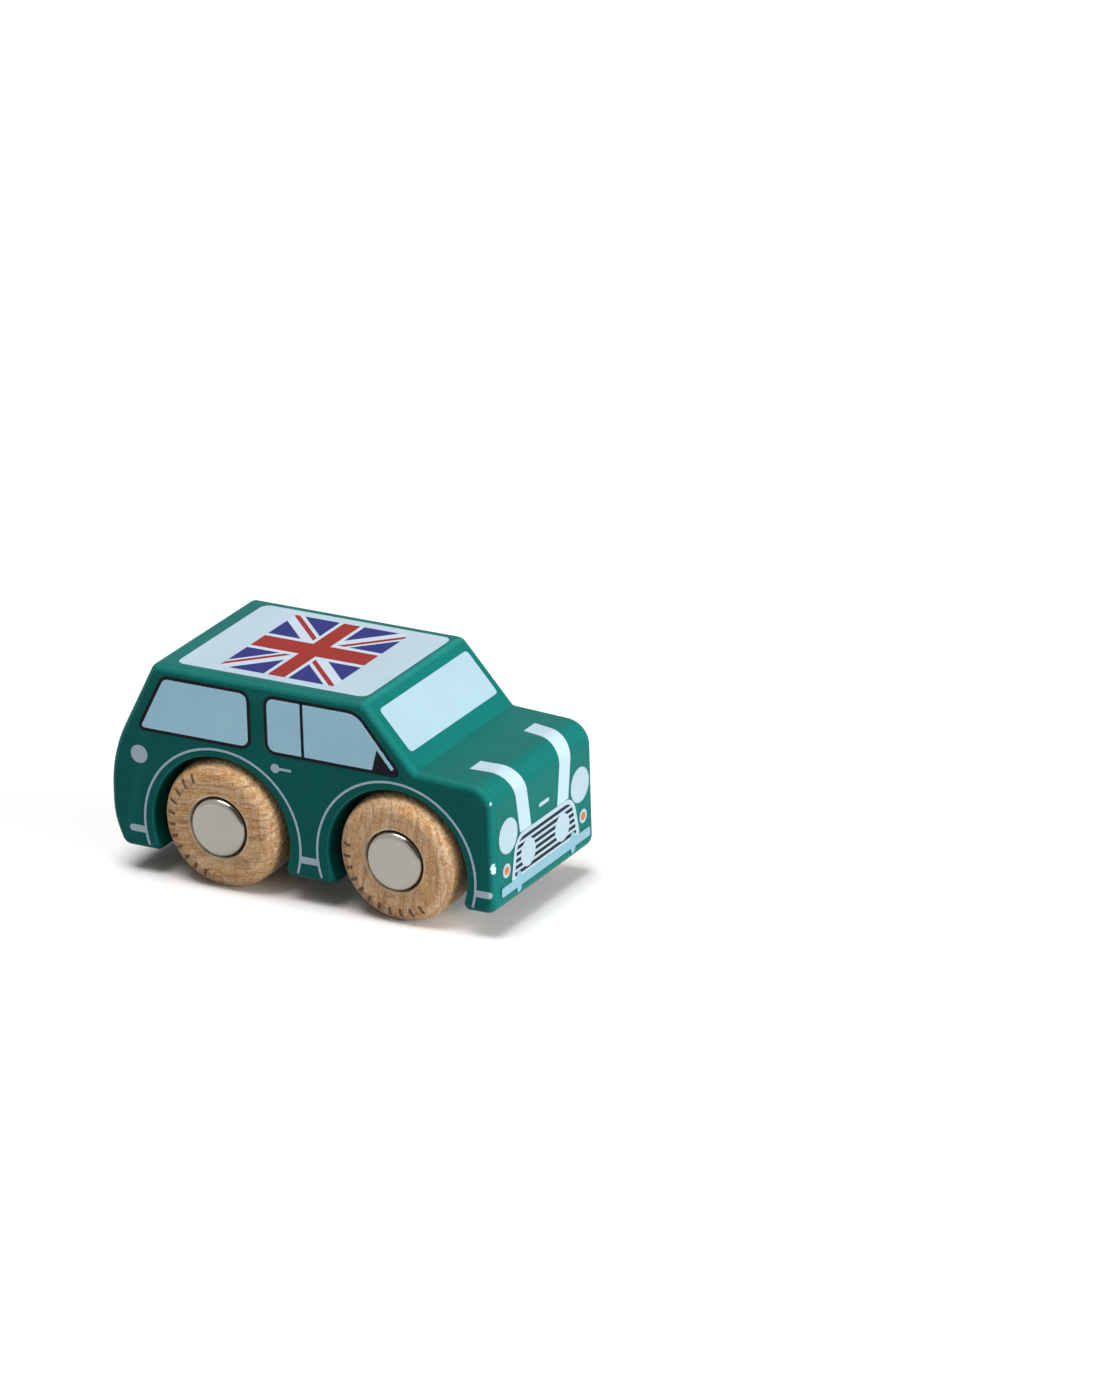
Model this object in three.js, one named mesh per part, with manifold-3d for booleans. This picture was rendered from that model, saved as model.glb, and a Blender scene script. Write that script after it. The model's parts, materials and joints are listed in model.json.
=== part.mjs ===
// Wooden toy car: a painted hardwood block on four beech wheels, with printed windows, lamps and trim.
// Millimetres, +X forward, +Y to the car's left, +Z up, origin on the floor below the middle of the car.
import * as THREE from 'three';
import { mergeVertices } from 'three/addons/utils/BufferGeometryUtils.js';
import Module from 'manifold-3d';

const wasm = await Module();
wasm.setup();

// Wheels
const WHEEL_RADIUS = 15;
const WHEEL_WIDTH = 11;
const RIM_ROUND = 4;
const WHEEL_BACK_ROUND = 2;
const WHEEL_PROUD = 1.2;
const WHEEL_SIDE_GAP = 0.5;
const RUNNING_GAP = 0.3;

// Axles, hub caps and the toothed push nuts that the caps cover
const AXLE_RADIUS = 2;
const AXLE_CHAMFER = 0.4;
const CAP_RADIUS = 6.9;
const CAP_HEIGHT = 3.1;
const CAP_PROUD = 0.8;
const CAP_WALL = 0.5;
const CAP_ROUND = 1.4;
const CAP_LIP = 0.8;
const CAP_SIDE_GAP = 0.35;
const CAP_SEAT_CHAMFER = 0.3;
const NUT_THICKNESS = 0.4;
const NUT_RING = 2;
const NUT_RISE = 1;
const NUT_GRIP_GAP = 0.1;
const NUT_SEAT_GAP = 0.05;
const NUT_RIM_GAP = 0.15;
const NUT_TEETH = 6;
const NUT_SLOT = 0.8;

// Body block: the posts are the wood left before, between and behind the wheel arches
const BODY_WIDTH = 45;
const GROUND_CLEARANCE = 5.7;
const EDGE_ROUND = 2;
const CORNER_MARGIN = 0.3;
const ARC_SHARE = 0.95;
const ARCH_GAP = 2.5;
const ARCH_DROP = 1.35;
const ARCH_MOUTH_ROUND = 0.6;
const ARCH_TOE_ROUND = 1.2;
const FRONT_POST = 7.1;
const MIDDLE_POST = 9.9;
const REAR_POST = 11.05;
const HOOD_LENGTH = 19.3;
const HOOD_FALL_DEG = 2.75;
const SCREEN_ANGLE_DEG = 48.8;
const COWL_RISE = 2.1;
const COWL_ROUND = 0.8;
const SCREEN_ROUND = 2.8;
const NOSE_ROUND = 5.7;
const FRONT_FOOT_ROUND = 3.2;
const TAIL_ROUND = 2.4;
const BACK_SLANT_DEG = 27.3;
const BULGE_HEIGHT = 21.5;
const BULGE_ROUND = 34;
const TUCK_HEIGHT = 6.6;
const TUCK_ANGLE_DEG = 22;
const TUCK_ROUND = 20;
const REAR_FOOT_ROUND = 2.5;

// Print films: one coat of ink, and the clearance below each coat
const FILM = 0.05;
const FILM_GAP = 0.02;

// Side prints
const TRIM_OFFSET = 2.5;
const TRIM_DROP = 0.55;
const TRIM_INSET = 0.3;
const TRIM_WIDTH = 0.55;
const TRIM_END_DEG = 17.5;
const TRIM_BAR_DROP = 2.5;
const TRIM_BAR_THICKNESS = 1.6;
const TRIM_BAR_LENGTH = 4.2;
const BELT_GAP = 1.15;
const WINDOW_HEIGHT = 14;
const ROOF_RAIL = 2.2;
const WINDOW_LINE = 0.8;
const WINDOW_ROUND = 2.6;
const WINDOW_TIP_ROUND = 1.3;
const QUARTER_ROUND = 5.5;
const PANE_ROUND = 0.2;
const REAR_PILLAR = 3.35;
const DOOR_PILLAR = 3.55;
const DOOR_PILLAR_AHEAD = 10.2;
const SCREEN_PILLAR_HEAD = 3.6;
const SCREEN_PILLAR_FOOT = 4.4;
const MULLION_AHEAD = 11.4;
const MIRROR_HEIGHT = 5;
const MIRROR_LEAN = 1.3;
const MIRROR_GAP = 1.1;
const MIRROR_TAIL = 0.6;
const HANDLE_RADIUS = 1.1;
const HANDLE_LENGTH = 4.1;
const HANDLE_BAR = 0.6;
const HANDLE_DROP = 3.2;
const HANDLE_AHEAD = 4.1;
const FILLER_RADIUS = 2.15;
const FILLER_DROP = 5.9;
const FILLER_INSET = 8.05;

// Front prints
const BUMPER_RISE = 3.6;
const BUMPER_THICKNESS = 2.2;
const BUMPER_INSET = 2.6;
const BUMPER_ROUND = 0.7;
const OVERRIDER_INSET = 10.4;
const OVERRIDER_WIDTH = 1.9;
const OVERRIDER_REACH = 1.45;
const GRILLE_INSET = 7.2;
const GRILLE_HEIGHT = 9.9;
const GRILLE_TAPER = 2.3;
const GRILLE_ROUND = 4.5;
const GRILLE_BAND = 1.05;
const GRILLE_FOOT_ROUND = 0.4;
const GRILLE_SLOTS = 6;
const GRILLE_SLOT = 0.87;
const FOG_RADIUS = 3.25;
const FOG_DROP = 0.7;
const HEADLAMP_RADIUS = 4.1;
const HEADLAMP_INSET = 6.4;
const HEADLAMP_RISE = 1.3;
const INDICATOR_RADIUS = 1.65;
const INDICATOR_LENS_RADIUS = 0.95;
const INDICATOR_INSET = 5.3;
const INDICATOR_RISE = 3.35;
const STRIPE_WIDTH = 4.95;
const STRIPE_LENGTH_ON_HOOD = 10.05;
const STRIPE_INSET = 10.4;
const STRIPE_NOSE_INSET = 10.8;
const STRIPE_LAMP_GAP = 1.2;
const CATCH_THICKNESS = 0.9;
const CATCH_RISE = 3.2;
const CATCH_SHARE = 0.385;

// Windscreen, roof and tail prints
const SCREEN_SIDE_MARGIN = 3.2;
const SCREEN_FOOT_MARGIN = 4.05;
const SCREEN_HEAD_MARGIN = 3;
const SCREEN_CORNER = 1;
const PANEL_SIDE_MARGIN = 3.2;
const PANEL_FRONT_MARGIN = 1.4;
const PANEL_REAR_MARGIN = 4.45;
const PANEL_CORNER = 2.2;
const FLAG_END_MARGIN = 9.65;
const FLAG_SIDE_MARGIN = 2.6;
const CROSS_ARM_ALONG = 6.4;
const CROSS_ARM_ACROSS = 4.3;
const CROSS_EDGE_ALONG = 1.4;
const CROSS_EDGE_ACROSS = 1;
const SALTIRE_WIDTH = 4.4;
const SALTIRE_AIM = 2.2;
const SALTIRE_SHIFT = 0.5;
const SALTIRE_RED = 1.2;
const SALTIRE_THIN_EDGE = 0.9;
const BACKLIGHT_SIDE_MARGIN = 5;
const BACKLIGHT_FOOT_MARGIN = 2;
const BACKLIGHT_HEAD_MARGIN = 4;
const TAIL_LAMP_RADIUS = 2;
const TAIL_LAMP_INSET = 6.4;

// Facets
const WHEEL_SIDES = 36;
const CAP_SIDES = 24;
const AXLE_SIDES = 24;
const ARCH_SIDES = 48;
const ROUND_STEPS = 3;
const EDGE_STEPS = 3;
const BODY_ARC_STEPS = 3;
const PRINT_ARC_STEPS = 2;
const LAMP_ARC_STEPS = 3;
const TRIM_ARC_STEPS = 12;
const OVERSHOOT = 1;

// Finishes
const PAINT_ROUGHNESS = 0.5;
const INK_ROUGHNESS = 0.55;
const WOOD_ROUGHNESS = 0.6;
const STEEL_ROUGHNESS = 0.35;
const CAP_ROUGHNESS = 0.25;
const GREEN = '#1c6e5c';
const BEECH = '#c79a66';
const STEEL = '#c4c2ba';
const BLACK = '#12151f';
const GLASS_BLUE = '#93b4cf';
const SCREEN_BLUE = '#c6e4f2';
const PANEL_BLUE = '#c3dae6';
const PALE = '#dbe9f3';
const SILVER = '#a3b4c6';
const SLATE = '#1a2c40';
const AMBER = '#dc8c4a';
const RED = '#aa3c3a';
const NAVY = '#39358a';
const WHITE = '#e4eaf6';
const TAIL_RED = '#a8302c';

// Places worked out from the sizes above
const tangent = (degrees) => Math.tan(THREE.MathUtils.degToRad(degrees));
const AXLE_Z = WHEEL_RADIUS;
const ARCH_RADIUS = WHEEL_RADIUS + ARCH_GAP;
const ARCH_Z = AXLE_Z - ARCH_DROP;
const WHEELBASE = 2 * ARCH_RADIUS + MIDDLE_POST;
const FRONT_X = (REAR_POST + FRONT_POST + WHEELBASE) / 2 + ARCH_RADIUS;
const REAR_X = -FRONT_X;
const FRONT_AXLE_X = FRONT_X - FRONT_POST - ARCH_RADIUS;
const REAR_AXLE_X = FRONT_AXLE_X - WHEELBASE;
const TRIM_RADIUS = ARCH_RADIUS + TRIM_OFFSET;
const TRIM_Z = ARCH_Z - TRIM_DROP;
const TRIM_BAR_Z = TRIM_Z - TRIM_BAR_DROP;
const FRONT_TRIM_X = FRONT_AXLE_X - TRIM_INSET;
const REAR_TRIM_X = REAR_AXLE_X + TRIM_INSET;
const HALF_WIDTH = BODY_WIDTH / 2;
const WHEEL_FACE = HALF_WIDTH + WHEEL_PROUD;
const SILL_Z = TRIM_Z + TRIM_RADIUS + TRIM_WIDTH / 2 + BELT_GAP;
const HEAD_Z = SILL_Z + WINDOW_HEIGHT;
const ROOF_Z = HEAD_Z + ROOF_RAIL;
const COWL_Z = SILL_Z + COWL_RISE;
const COWL_X = FRONT_X - HOOD_LENGTH;
const BOTTOM_Z = GROUND_CLEARANCE;
const BULGE_Z = BOTTOM_Z + BULGE_HEIGHT;
const TUCK_Z = BOTTOM_Z + TUCK_HEIGHT;
const POCKET_FLOOR = WHEEL_FACE - WHEEL_WIDTH - WHEEL_SIDE_GAP;
const CAP_SEAT_DEPTH = CAP_HEIGHT - CAP_PROUD + RUNNING_GAP;
const BORE_RADIUS = AXLE_RADIUS + RUNNING_GAP;
const hoodZ = (x) => COWL_Z - (x - COWL_X) * tangent(HOOD_FALL_DEG);
const screenX = (z) => COWL_X - (z - COWL_Z) / tangent(SCREEN_ANGLE_DEG);
const backX = (z) => REAR_X + (z - BULGE_Z) * tangent(BACK_SLANT_DEG);

// Closed solid of a geometry, with its shared vertices welded.
function solid(geometry) {
  const bare = geometry.clone();
  bare.deleteAttribute('normal');
  bare.deleteAttribute('uv');
  const welded = mergeVertices(bare);
  const triangles = [];
  for (let i = 0; i < welded.index.count; i += 3) {
    const [a, b, c] = [0, 1, 2].map((k) => welded.index.getX(i + k));
    if (a !== b && b !== c && c !== a) triangles.push(a, b, c);
  }
  const vertProperties = welded.attributes.position.array;
  const triVerts = new Uint32Array(triangles);
  return new wasm.Manifold(new wasm.Mesh({ numProp: 3, vertProperties, triVerts }));
}

// Named mesh of a solid, in its own finish.
function piece(name, shape, color, roughness, metalness = 0) {
  const { vertProperties, triVerts } = shape.getMesh();
  const geometry = new THREE.BufferGeometry();
  geometry.setAttribute('position', new THREE.BufferAttribute(new Float32Array(vertProperties), 3));
  geometry.setIndex(new THREE.BufferAttribute(new Uint32Array(triVerts), 1));
  geometry.computeVertexNormals();
  const mesh = new THREE.Mesh(geometry, new THREE.MeshStandardMaterial({ color, roughness, metalness }));
  mesh.name = name;
  return mesh;
}

// Unit directions along an outline's sides, side i running from corner i to the next corner.
function sideDirections(corners) {
  return corners.map(([x, y], i) => {
    const [nextX, nextY] = corners[(i + 1) % corners.length];
    return new THREE.Vector2(nextX - x, nextY - y).normalize();
  });
}

// Outline of corners [x, y, radius] moved outwards by a distance, running anticlockwise.
function offsetCorners(corners, distance) {
  const along = sideDirections(corners);
  return corners.map(([x, y, radius], i) => {
    const before = along.at(i - 1);
    const after = along[i];
    const reach = distance / (1 + before.dot(after));
    const grow = Math.sign(before.cross(after)) * distance;
    return [x + (before.y + after.y) * reach, y - (before.x + after.x) * reach, Math.max(radius + grow, 0)];
  });
}

// Closed shape through corners [x, y, radius], each arc held within its share of the two sides.
function roundedShape(corners, share = 1) {
  const along = sideDirections(corners);
  const turns = along.map((after, i) => {
    const before = along.at(i - 1);
    return Math.atan2(before.cross(after), before.dot(after));
  });
  const slopes = turns.map((turn) => Math.abs(Math.tan(turn / 2)));
  const wanted = corners.map(([, , radius], i) => radius * slopes[i]);
  const room = corners.map(([x, y], i) => {
    const next = (i + 1) % corners.length;
    return Math.hypot(corners[next][0] - x, corners[next][1] - y) / (wanted[i] + wanted[next]);
  });
  const shape = new THREE.Shape();
  corners.forEach(([x, y], i) => {
    const length = wanted[i] * Math.min(1, share * room.at(i - 1), share * room[i]);
    const radius = length / slopes[i];
    const side = Math.sign(turns[i]);
    const before = along.at(i - 1);
    const startAngle = Math.atan2(-side * before.x, side * before.y);
    const centreX = x - before.x * length - before.y * radius * side;
    const centreY = y - before.y * length + before.x * radius * side;
    shape.absarc(centreX, centreY, radius, startAngle, startAngle + turns[i], side < 0);
  });
  return shape;
}

// Rectangle between two opposite corners, square or with rounded corners.
function panel(left, bottom, right, top, radius = 0) {
  const corners = [[left, bottom], [right, bottom], [right, top], [left, top]];
  return roundedShape(corners.map(([x, y]) => [x, y, radius]));
}

function disc(x, y, radius) {
  return panel(x - radius, y - radius, x + radius, y + radius, radius);
}

// Points of an arc in a lathe profile, from one angle to another in degrees.
function arcPoints(x, y, radius, from, to) {
  return Array.from({ length: ROUND_STEPS + 1 }, (_, i) => {
    const angle = THREE.MathUtils.degToRad(from + ((to - from) * i) / ROUND_STEPS);
    return [x + radius * Math.cos(angle), y + radius * Math.sin(angle)];
  });
}

// Solid of revolution about the Y axis of a profile [radius, y], run with the material on its left.
function turned(profile, sides) {
  return solid(new THREE.LatheGeometry(profile.map(([r, y]) => new THREE.Vector2(r, y)), sides));
}

// Side outline of the block: no convex corner is tighter than the edge round that follows it.
const bodyCorner = (x, z, radius) => [x, z, Math.max(radius, EDGE_ROUND + CORNER_MARGIN)];
const BODY_CORNERS = [
  bodyCorner(FRONT_X, BOTTOM_Z, FRONT_FOOT_ROUND),
  bodyCorner(FRONT_X, hoodZ(FRONT_X), NOSE_ROUND),
  [COWL_X, COWL_Z, COWL_ROUND],
  bodyCorner(screenX(ROOF_Z), ROOF_Z, SCREEN_ROUND),
  bodyCorner(backX(ROOF_Z), ROOF_Z, TAIL_ROUND),
  bodyCorner(REAR_X, BULGE_Z, BULGE_ROUND),
  bodyCorner(REAR_X, TUCK_Z, TUCK_ROUND),
  bodyCorner(REAR_X + (TUCK_Z - BOTTOM_Z) * tangent(TUCK_ANGLE_DEG), BOTTOM_Z, REAR_FOOT_ROUND),
];

// The block with its edges rounded over, or the same skin a distance further out.
function blank(offset) {
  const round = EDGE_ROUND + offset;
  const outline = roundedShape(offsetCorners(BODY_CORNERS, offset), ARC_SHARE);
  const geometry = new THREE.ExtrudeGeometry(outline, {
    depth: BODY_WIDTH - 2 * EDGE_ROUND,
    bevelSize: round,
    bevelThickness: round,
    bevelOffset: -round,
    bevelSegments: EDGE_STEPS,
    curveSegments: BODY_ARC_STEPS,
  });
  geometry.translate(0, 0, EDGE_ROUND - HALF_WIDTH);
  geometry.rotateX(Math.PI / 2);
  return solid(geometry);
}

// Prism along a wheel pocket that rounds the two sharp feet where the pocket runs out through the underside.
// Its facets touch the underside between their corners, so the first corner lies just below the block.
function toeRounds() {
  const height = BOTTOM_Z + ARCH_TOE_ROUND * Math.cos(Math.PI / (4 * ROUND_STEPS)) - ARCH_Z;
  const across = Math.sqrt((ARCH_RADIUS + ARCH_TOE_ROUND) ** 2 - height ** 2);
  const turn = Math.atan2(-height, across);
  const below = BOTTOM_Z - ARCH_Z - OVERSHOOT;
  const shape = new THREE.Shape();
  shape.moveTo(-across, below);
  shape.lineTo(across, below);
  shape.absarc(across, height, ARCH_TOE_ROUND, -Math.PI / 2, Math.PI - turn, true);
  shape.absarc(-across, height, ARCH_TOE_ROUND, turn, -Math.PI / 2, true);
  const depth = HALF_WIDTH + OVERSHOOT - POCKET_FLOOR;
  const geometry = new THREE.ExtrudeGeometry(shape, { depth, bevelEnabled: false, curveSegments: ROUND_STEPS });
  geometry.rotateX(Math.PI / 2);
  geometry.translate(0, HALF_WIDTH + OVERSHOOT, 0);
  return solid(geometry);
}

// Blind wheel pockets, flared at the mouth and rounded at the feet, and the axle bores across the block.
function bodyBlock() {
  const mouth = HALF_WIDTH - ARCH_MOUTH_ROUND;
  const flare = arcPoints(ARCH_RADIUS + ARCH_MOUTH_ROUND, mouth, ARCH_MOUTH_ROUND, 180, 90);
  const pocket = turned([
    [0, POCKET_FLOOR],
    [ARCH_RADIUS, POCKET_FLOOR],
    ...flare,
    [ARCH_RADIUS + ARCH_MOUTH_ROUND, HALF_WIDTH + OVERSHOOT],
    [0, HALF_WIDTH + OVERSHOOT],
  ], ARCH_SIDES).add(toeRounds());
  const bore = solid(new THREE.CylinderGeometry(BORE_RADIUS, BORE_RADIUS, BODY_WIDTH, AXLE_SIDES));
  let block = blank(0);
  for (const x of [FRONT_AXLE_X, REAR_AXLE_X]) {
    block = block.subtract(pocket.translate([x, 0, ARCH_Z]));
    block = block.subtract(pocket.rotate([0, 0, 180]).translate([x, 0, ARCH_Z]));
    block = block.subtract(bore.translate([x, 0, AXLE_Z]));
  }
  return block;
}

// Beech wheel, back face at y = 0, bored for its axle and counterbored for its hub cap.
function wheel() {
  const seatRadius = CAP_RADIUS + CAP_SIDE_GAP;
  const seat = WHEEL_WIDTH - CAP_SEAT_DEPTH;
  return turned([
    [BORE_RADIUS, 0],
    ...arcPoints(WHEEL_RADIUS - WHEEL_BACK_ROUND, WHEEL_BACK_ROUND, WHEEL_BACK_ROUND, -90, 0),
    ...arcPoints(WHEEL_RADIUS - RIM_ROUND, WHEEL_WIDTH - RIM_ROUND, RIM_ROUND, 0, 90),
    [seatRadius + CAP_SEAT_CHAMFER, WHEEL_WIDTH],
    [seatRadius, WHEEL_WIDTH - CAP_SEAT_CHAMFER],
    [seatRadius, seat],
    [BORE_RADIUS, seat],
    [BORE_RADIUS, 0],
  ], WHEEL_SIDES);
}

// Pressed steel cup, open towards the wheel at y = 0, its rim folded in under the push nut.
function hubCap() {
  const inside = CAP_RADIUS - CAP_WALL;
  return turned([
    [0, CAP_HEIGHT - CAP_WALL],
    [CAP_RADIUS - CAP_ROUND, CAP_HEIGHT - CAP_WALL],
    [inside, CAP_HEIGHT - CAP_ROUND],
    [inside, CAP_WALL],
    [inside - CAP_LIP, CAP_WALL],
    [inside - CAP_LIP, 0],
    [CAP_RADIUS, 0],
    ...arcPoints(CAP_RADIUS - CAP_ROUND, CAP_HEIGHT - CAP_ROUND, CAP_ROUND, 0, 90),
    [0, CAP_HEIGHT],
  ], CAP_SIDES);
}

// Spring washer on the cap's folded rim, slit into teeth that rise towards the axle.
function pushNut() {
  const rim = CAP_RADIUS - CAP_WALL - NUT_RIM_GAP;
  const root = rim - NUT_RING;
  const tip = AXLE_RADIUS + NUT_GRIP_GAP;
  const base = CAP_WALL + NUT_SEAT_GAP;
  let nut = turned([
    [tip, base + NUT_RISE],
    [root, base],
    [rim, base],
    [rim, base + NUT_THICKNESS],
    [root, base + NUT_THICKNESS],
    [tip, base + NUT_RISE + NUT_THICKNESS],
    [tip, base + NUT_RISE],
  ], AXLE_SIDES);
  const slit = solid(new THREE.BoxGeometry(2 * root, 2 * CAP_HEIGHT, NUT_SLOT));
  for (let i = 0; i < NUT_TEETH / 2; i += 1) {
    nut = nut.subtract(slit.rotate([0, (360 * i) / NUT_TEETH, 0]));
  }
  return nut;
}

// Plain steel rod that ends just below the tops of both hub caps.
function axle() {
  const end = WHEEL_FACE + CAP_PROUD - CAP_WALL - RUNNING_GAP;
  return turned([
    [0, -end],
    [AXLE_RADIUS - AXLE_CHAMFER, -end],
    [AXLE_RADIUS, -end + AXLE_CHAMFER],
    [AXLE_RADIUS, end - AXLE_CHAMFER],
    [AXLE_RADIUS - AXLE_CHAMFER, end],
    [0, end],
  ], AXLE_SIDES);
}

// One axle with a wheel, hub cap and push nut on each end.
function wheelSet(end, x) {
  const set = new THREE.Group();
  set.position.set(x, 0, AXLE_Z);
  set.add(piece(`axle_${end}`, axle(), STEEL, STEEL_ROUGHNESS, 1));
  for (const [side, turn] of [['left', 0], ['right', Math.PI]]) {
    const half = new THREE.Group();
    half.rotation.z = turn;
    const beech = piece(`wheel_${end}_${side}`, wheel(), BEECH, WOOD_ROUGHNESS);
    beech.position.y = WHEEL_FACE - WHEEL_WIDTH;
    const cap = piece(`hub_cap_${end}_${side}`, hubCap(), STEEL, CAP_ROUGHNESS, 1);
    const nut = piece(`push_nut_${end}_${side}`, pushNut(), STEEL, STEEL_ROUGHNESS, 1);
    cap.position.y = WHEEL_FACE + CAP_PROUD - CAP_HEIGHT;
    nut.position.y = cap.position.y;
    half.add(beech, cap, nut);
    set.add(half);
  }
  return set;
}

// Skin of one coat of ink over the whole block, coat 0 next to the paint.
const coats = new Map();
function coat(level) {
  if (!coats.has(level)) {
    const below = FILM_GAP + level * (FILM + FILM_GAP);
    coats.set(level, blank(below + FILM).subtract(blank(below)));
  }
  return coats.get(level);
}

// Place that a print is pressed onto: its axes run right and up as seen from outside.
function face(origin, right, up, reach) {
  const [across, upwards] = [new THREE.Vector3(...right), new THREE.Vector3(...up)];
  const outwards = across.clone().cross(upwards);
  const place = new THREE.Matrix4().makeBasis(across, upwards, outwards).setPosition(...origin);
  return { place, reach };
}

// Shape on a face, carried through the skin there.
function stamp({ place, reach }, shape, curveSegments = PRINT_ARC_STEPS) {
  const depth = reach + OVERSHOOT;
  const geometry = new THREE.ExtrudeGeometry(shape, { depth, bevelEnabled: false, curveSegments });
  geometry.translate(0, 0, -reach);
  geometry.applyMatrix4(place);
  return solid(geometry);
}

function printed(level, place, shape, curveSegments) {
  return coat(level).intersect(stamp(place, shape, curveSegments));
}

function printPiece(name, level, place, shape, color, curveSegments) {
  return piece(name, printed(level, place, shape, curveSegments), color, INK_ROUGHNESS);
}

// Windows of one side, seen with the nose to the right.
const DOOR_PILLAR_X = REAR_TRIM_X + DOOR_PILLAR_AHEAD;
const REAR_PILLAR_RUN = REAR_PILLAR / Math.cos(THREE.MathUtils.degToRad(BACK_SLANT_DEG));
const REAR_WINDOW = [
  [backX(SILL_Z) + REAR_PILLAR_RUN, SILL_Z, WINDOW_TIP_ROUND],
  [DOOR_PILLAR_X - DOOR_PILLAR / 2, SILL_Z, WINDOW_ROUND],
  [DOOR_PILLAR_X - DOOR_PILLAR / 2, HEAD_Z, WINDOW_ROUND],
  [backX(HEAD_Z) + REAR_PILLAR_RUN, HEAD_Z, WINDOW_ROUND],
];
const DOOR_WINDOW = [
  [DOOR_PILLAR_X + DOOR_PILLAR / 2, SILL_Z, WINDOW_ROUND],
  [screenX(SILL_Z) - SCREEN_PILLAR_FOOT, SILL_Z, WINDOW_TIP_ROUND],
  [screenX(HEAD_Z) - SCREEN_PILLAR_HEAD, HEAD_Z, QUARTER_ROUND],
  [DOOR_PILLAR_X + DOOR_PILLAR / 2, HEAD_Z, WINDOW_ROUND],
];

// The door glass is split by an upright bar, and the mirror's dark foot stands in its front corner.
function doorPanes() {
  const [rearFoot, frontFoot, frontHead, rearHead] = offsetCorners(DOOR_WINDOW, -WINDOW_LINE);
  const [bottom, top] = [rearFoot[1], rearHead[1]];
  const barX = DOOR_PILLAR_X + MULLION_AHEAD;
  const slope = (frontHead[0] - frontFoot[0]) / (top - bottom);
  const edgeX = (rise) => frontFoot[0] + slope * rise;
  const mirrorX = edgeX(MIRROR_HEIGHT) - MIRROR_GAP;
  const rear = [
    rearFoot,
    [barX - WINDOW_LINE / 2, bottom, PANE_ROUND],
    [barX - WINDOW_LINE / 2, top, PANE_ROUND],
    rearHead,
  ];
  const front = [
    [barX + WINDOW_LINE / 2, bottom, PANE_ROUND],
    [mirrorX - MIRROR_LEAN, bottom, PANE_ROUND],
    [mirrorX, bottom + MIRROR_HEIGHT, PANE_ROUND],
    [edgeX(MIRROR_TAIL) - MIRROR_GAP, bottom + MIRROR_TAIL, PANE_ROUND],
    [edgeX(2 * MIRROR_TAIL), bottom + 2 * MIRROR_TAIL, PANE_ROUND],
    frontHead,
    [barX + WINDOW_LINE / 2, top, PANE_ROUND],
  ];
  return { rear, front };
}

// Line round an arch, open at the foot.
function archLine(x) {
  const start = -THREE.MathUtils.degToRad(TRIM_END_DEG);
  const end = Math.PI - start;
  const line = new THREE.Shape();
  line.absarc(x, TRIM_Z, TRIM_RADIUS + TRIM_WIDTH / 2, start, end, false);
  line.absarc(x, TRIM_Z, TRIM_RADIUS - TRIM_WIDTH / 2, end, start, true);
  return line;
}

// Prints on one side: windows, arch lines tied by bumper ends and sill bar, door handle and fuel filler.
function sidePrints(side, forward) {
  const place = face([0, -forward * HALF_WIDTH, 0], [forward, 0, 0], [0, 0, 1], EDGE_ROUND + OVERSHOOT);
  const outline = (corners) => roundedShape(corners.map(([x, z, radius]) => [forward * x, z, radius]));
  const bar = (rear, front, z, thickness) => {
    const [low, high, round] = [z - thickness / 2, z + thickness / 2, thickness / 2];
    return outline([[rear, low, round], [front, low, round], [front, high, round], [rear, high, round]]);
  };
  const panes = doorPanes();
  const barInset = Math.sqrt(TRIM_RADIUS ** 2 - TRIM_BAR_DROP ** 2);
  const [rearEnd, frontEnd] = [REAR_TRIM_X - barInset, FRONT_TRIM_X + barInset];
  const bars = [
    bar(rearEnd - TRIM_BAR_LENGTH, rearEnd, TRIM_BAR_Z, TRIM_BAR_THICKNESS),
    bar(REAR_TRIM_X + barInset, FRONT_TRIM_X - barInset, TRIM_BAR_Z, TRIM_BAR_THICKNESS),
    bar(frontEnd, frontEnd + TRIM_BAR_LENGTH, TRIM_BAR_Z, TRIM_BAR_THICKNESS),
  ];
  let trim = printed(0, place, archLine(forward * REAR_TRIM_X), TRIM_ARC_STEPS);
  trim = trim.add(printed(0, place, archLine(forward * FRONT_TRIM_X), TRIM_ARC_STEPS));
  for (const shape of bars) trim = trim.add(printed(0, place, shape));
  const [handleX, handleZ] = [DOOR_PILLAR_X + HANDLE_AHEAD, SILL_Z - HANDLE_DROP];
  const handle = printed(0, place, disc(forward * handleX, handleZ, HANDLE_RADIUS), LAMP_ARC_STEPS)
    .add(printed(0, place, bar(handleX, handleX + HANDLE_LENGTH, handleZ, HANDLE_BAR)));
  const filler = disc(forward * (REAR_X + FILLER_INSET), SILL_Z - FILLER_DROP, FILLER_RADIUS);
  const rearPane = offsetCorners(REAR_WINDOW, -WINDOW_LINE);
  return [
    printPiece(`rear_window_frame_${side}`, 0, place, outline(REAR_WINDOW), BLACK),
    printPiece(`rear_window_pane_${side}`, 1, place, outline(rearPane), GLASS_BLUE),
    printPiece(`door_window_frame_${side}`, 0, place, outline(DOOR_WINDOW), BLACK),
    printPiece(`door_pane_rear_${side}`, 1, place, outline(panes.rear), GLASS_BLUE),
    printPiece(`door_pane_front_${side}`, 1, place, outline(panes.front), GLASS_BLUE),
    piece(`side_trim_${side}`, trim, SILVER, INK_ROUGHNESS),
    piece(`door_handle_${side}`, handle, SILVER, INK_ROUGHNESS),
    printPiece(`fuel_filler_${side}`, 0, place, filler, SILVER, LAMP_ARC_STEPS),
  ];
}

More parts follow.
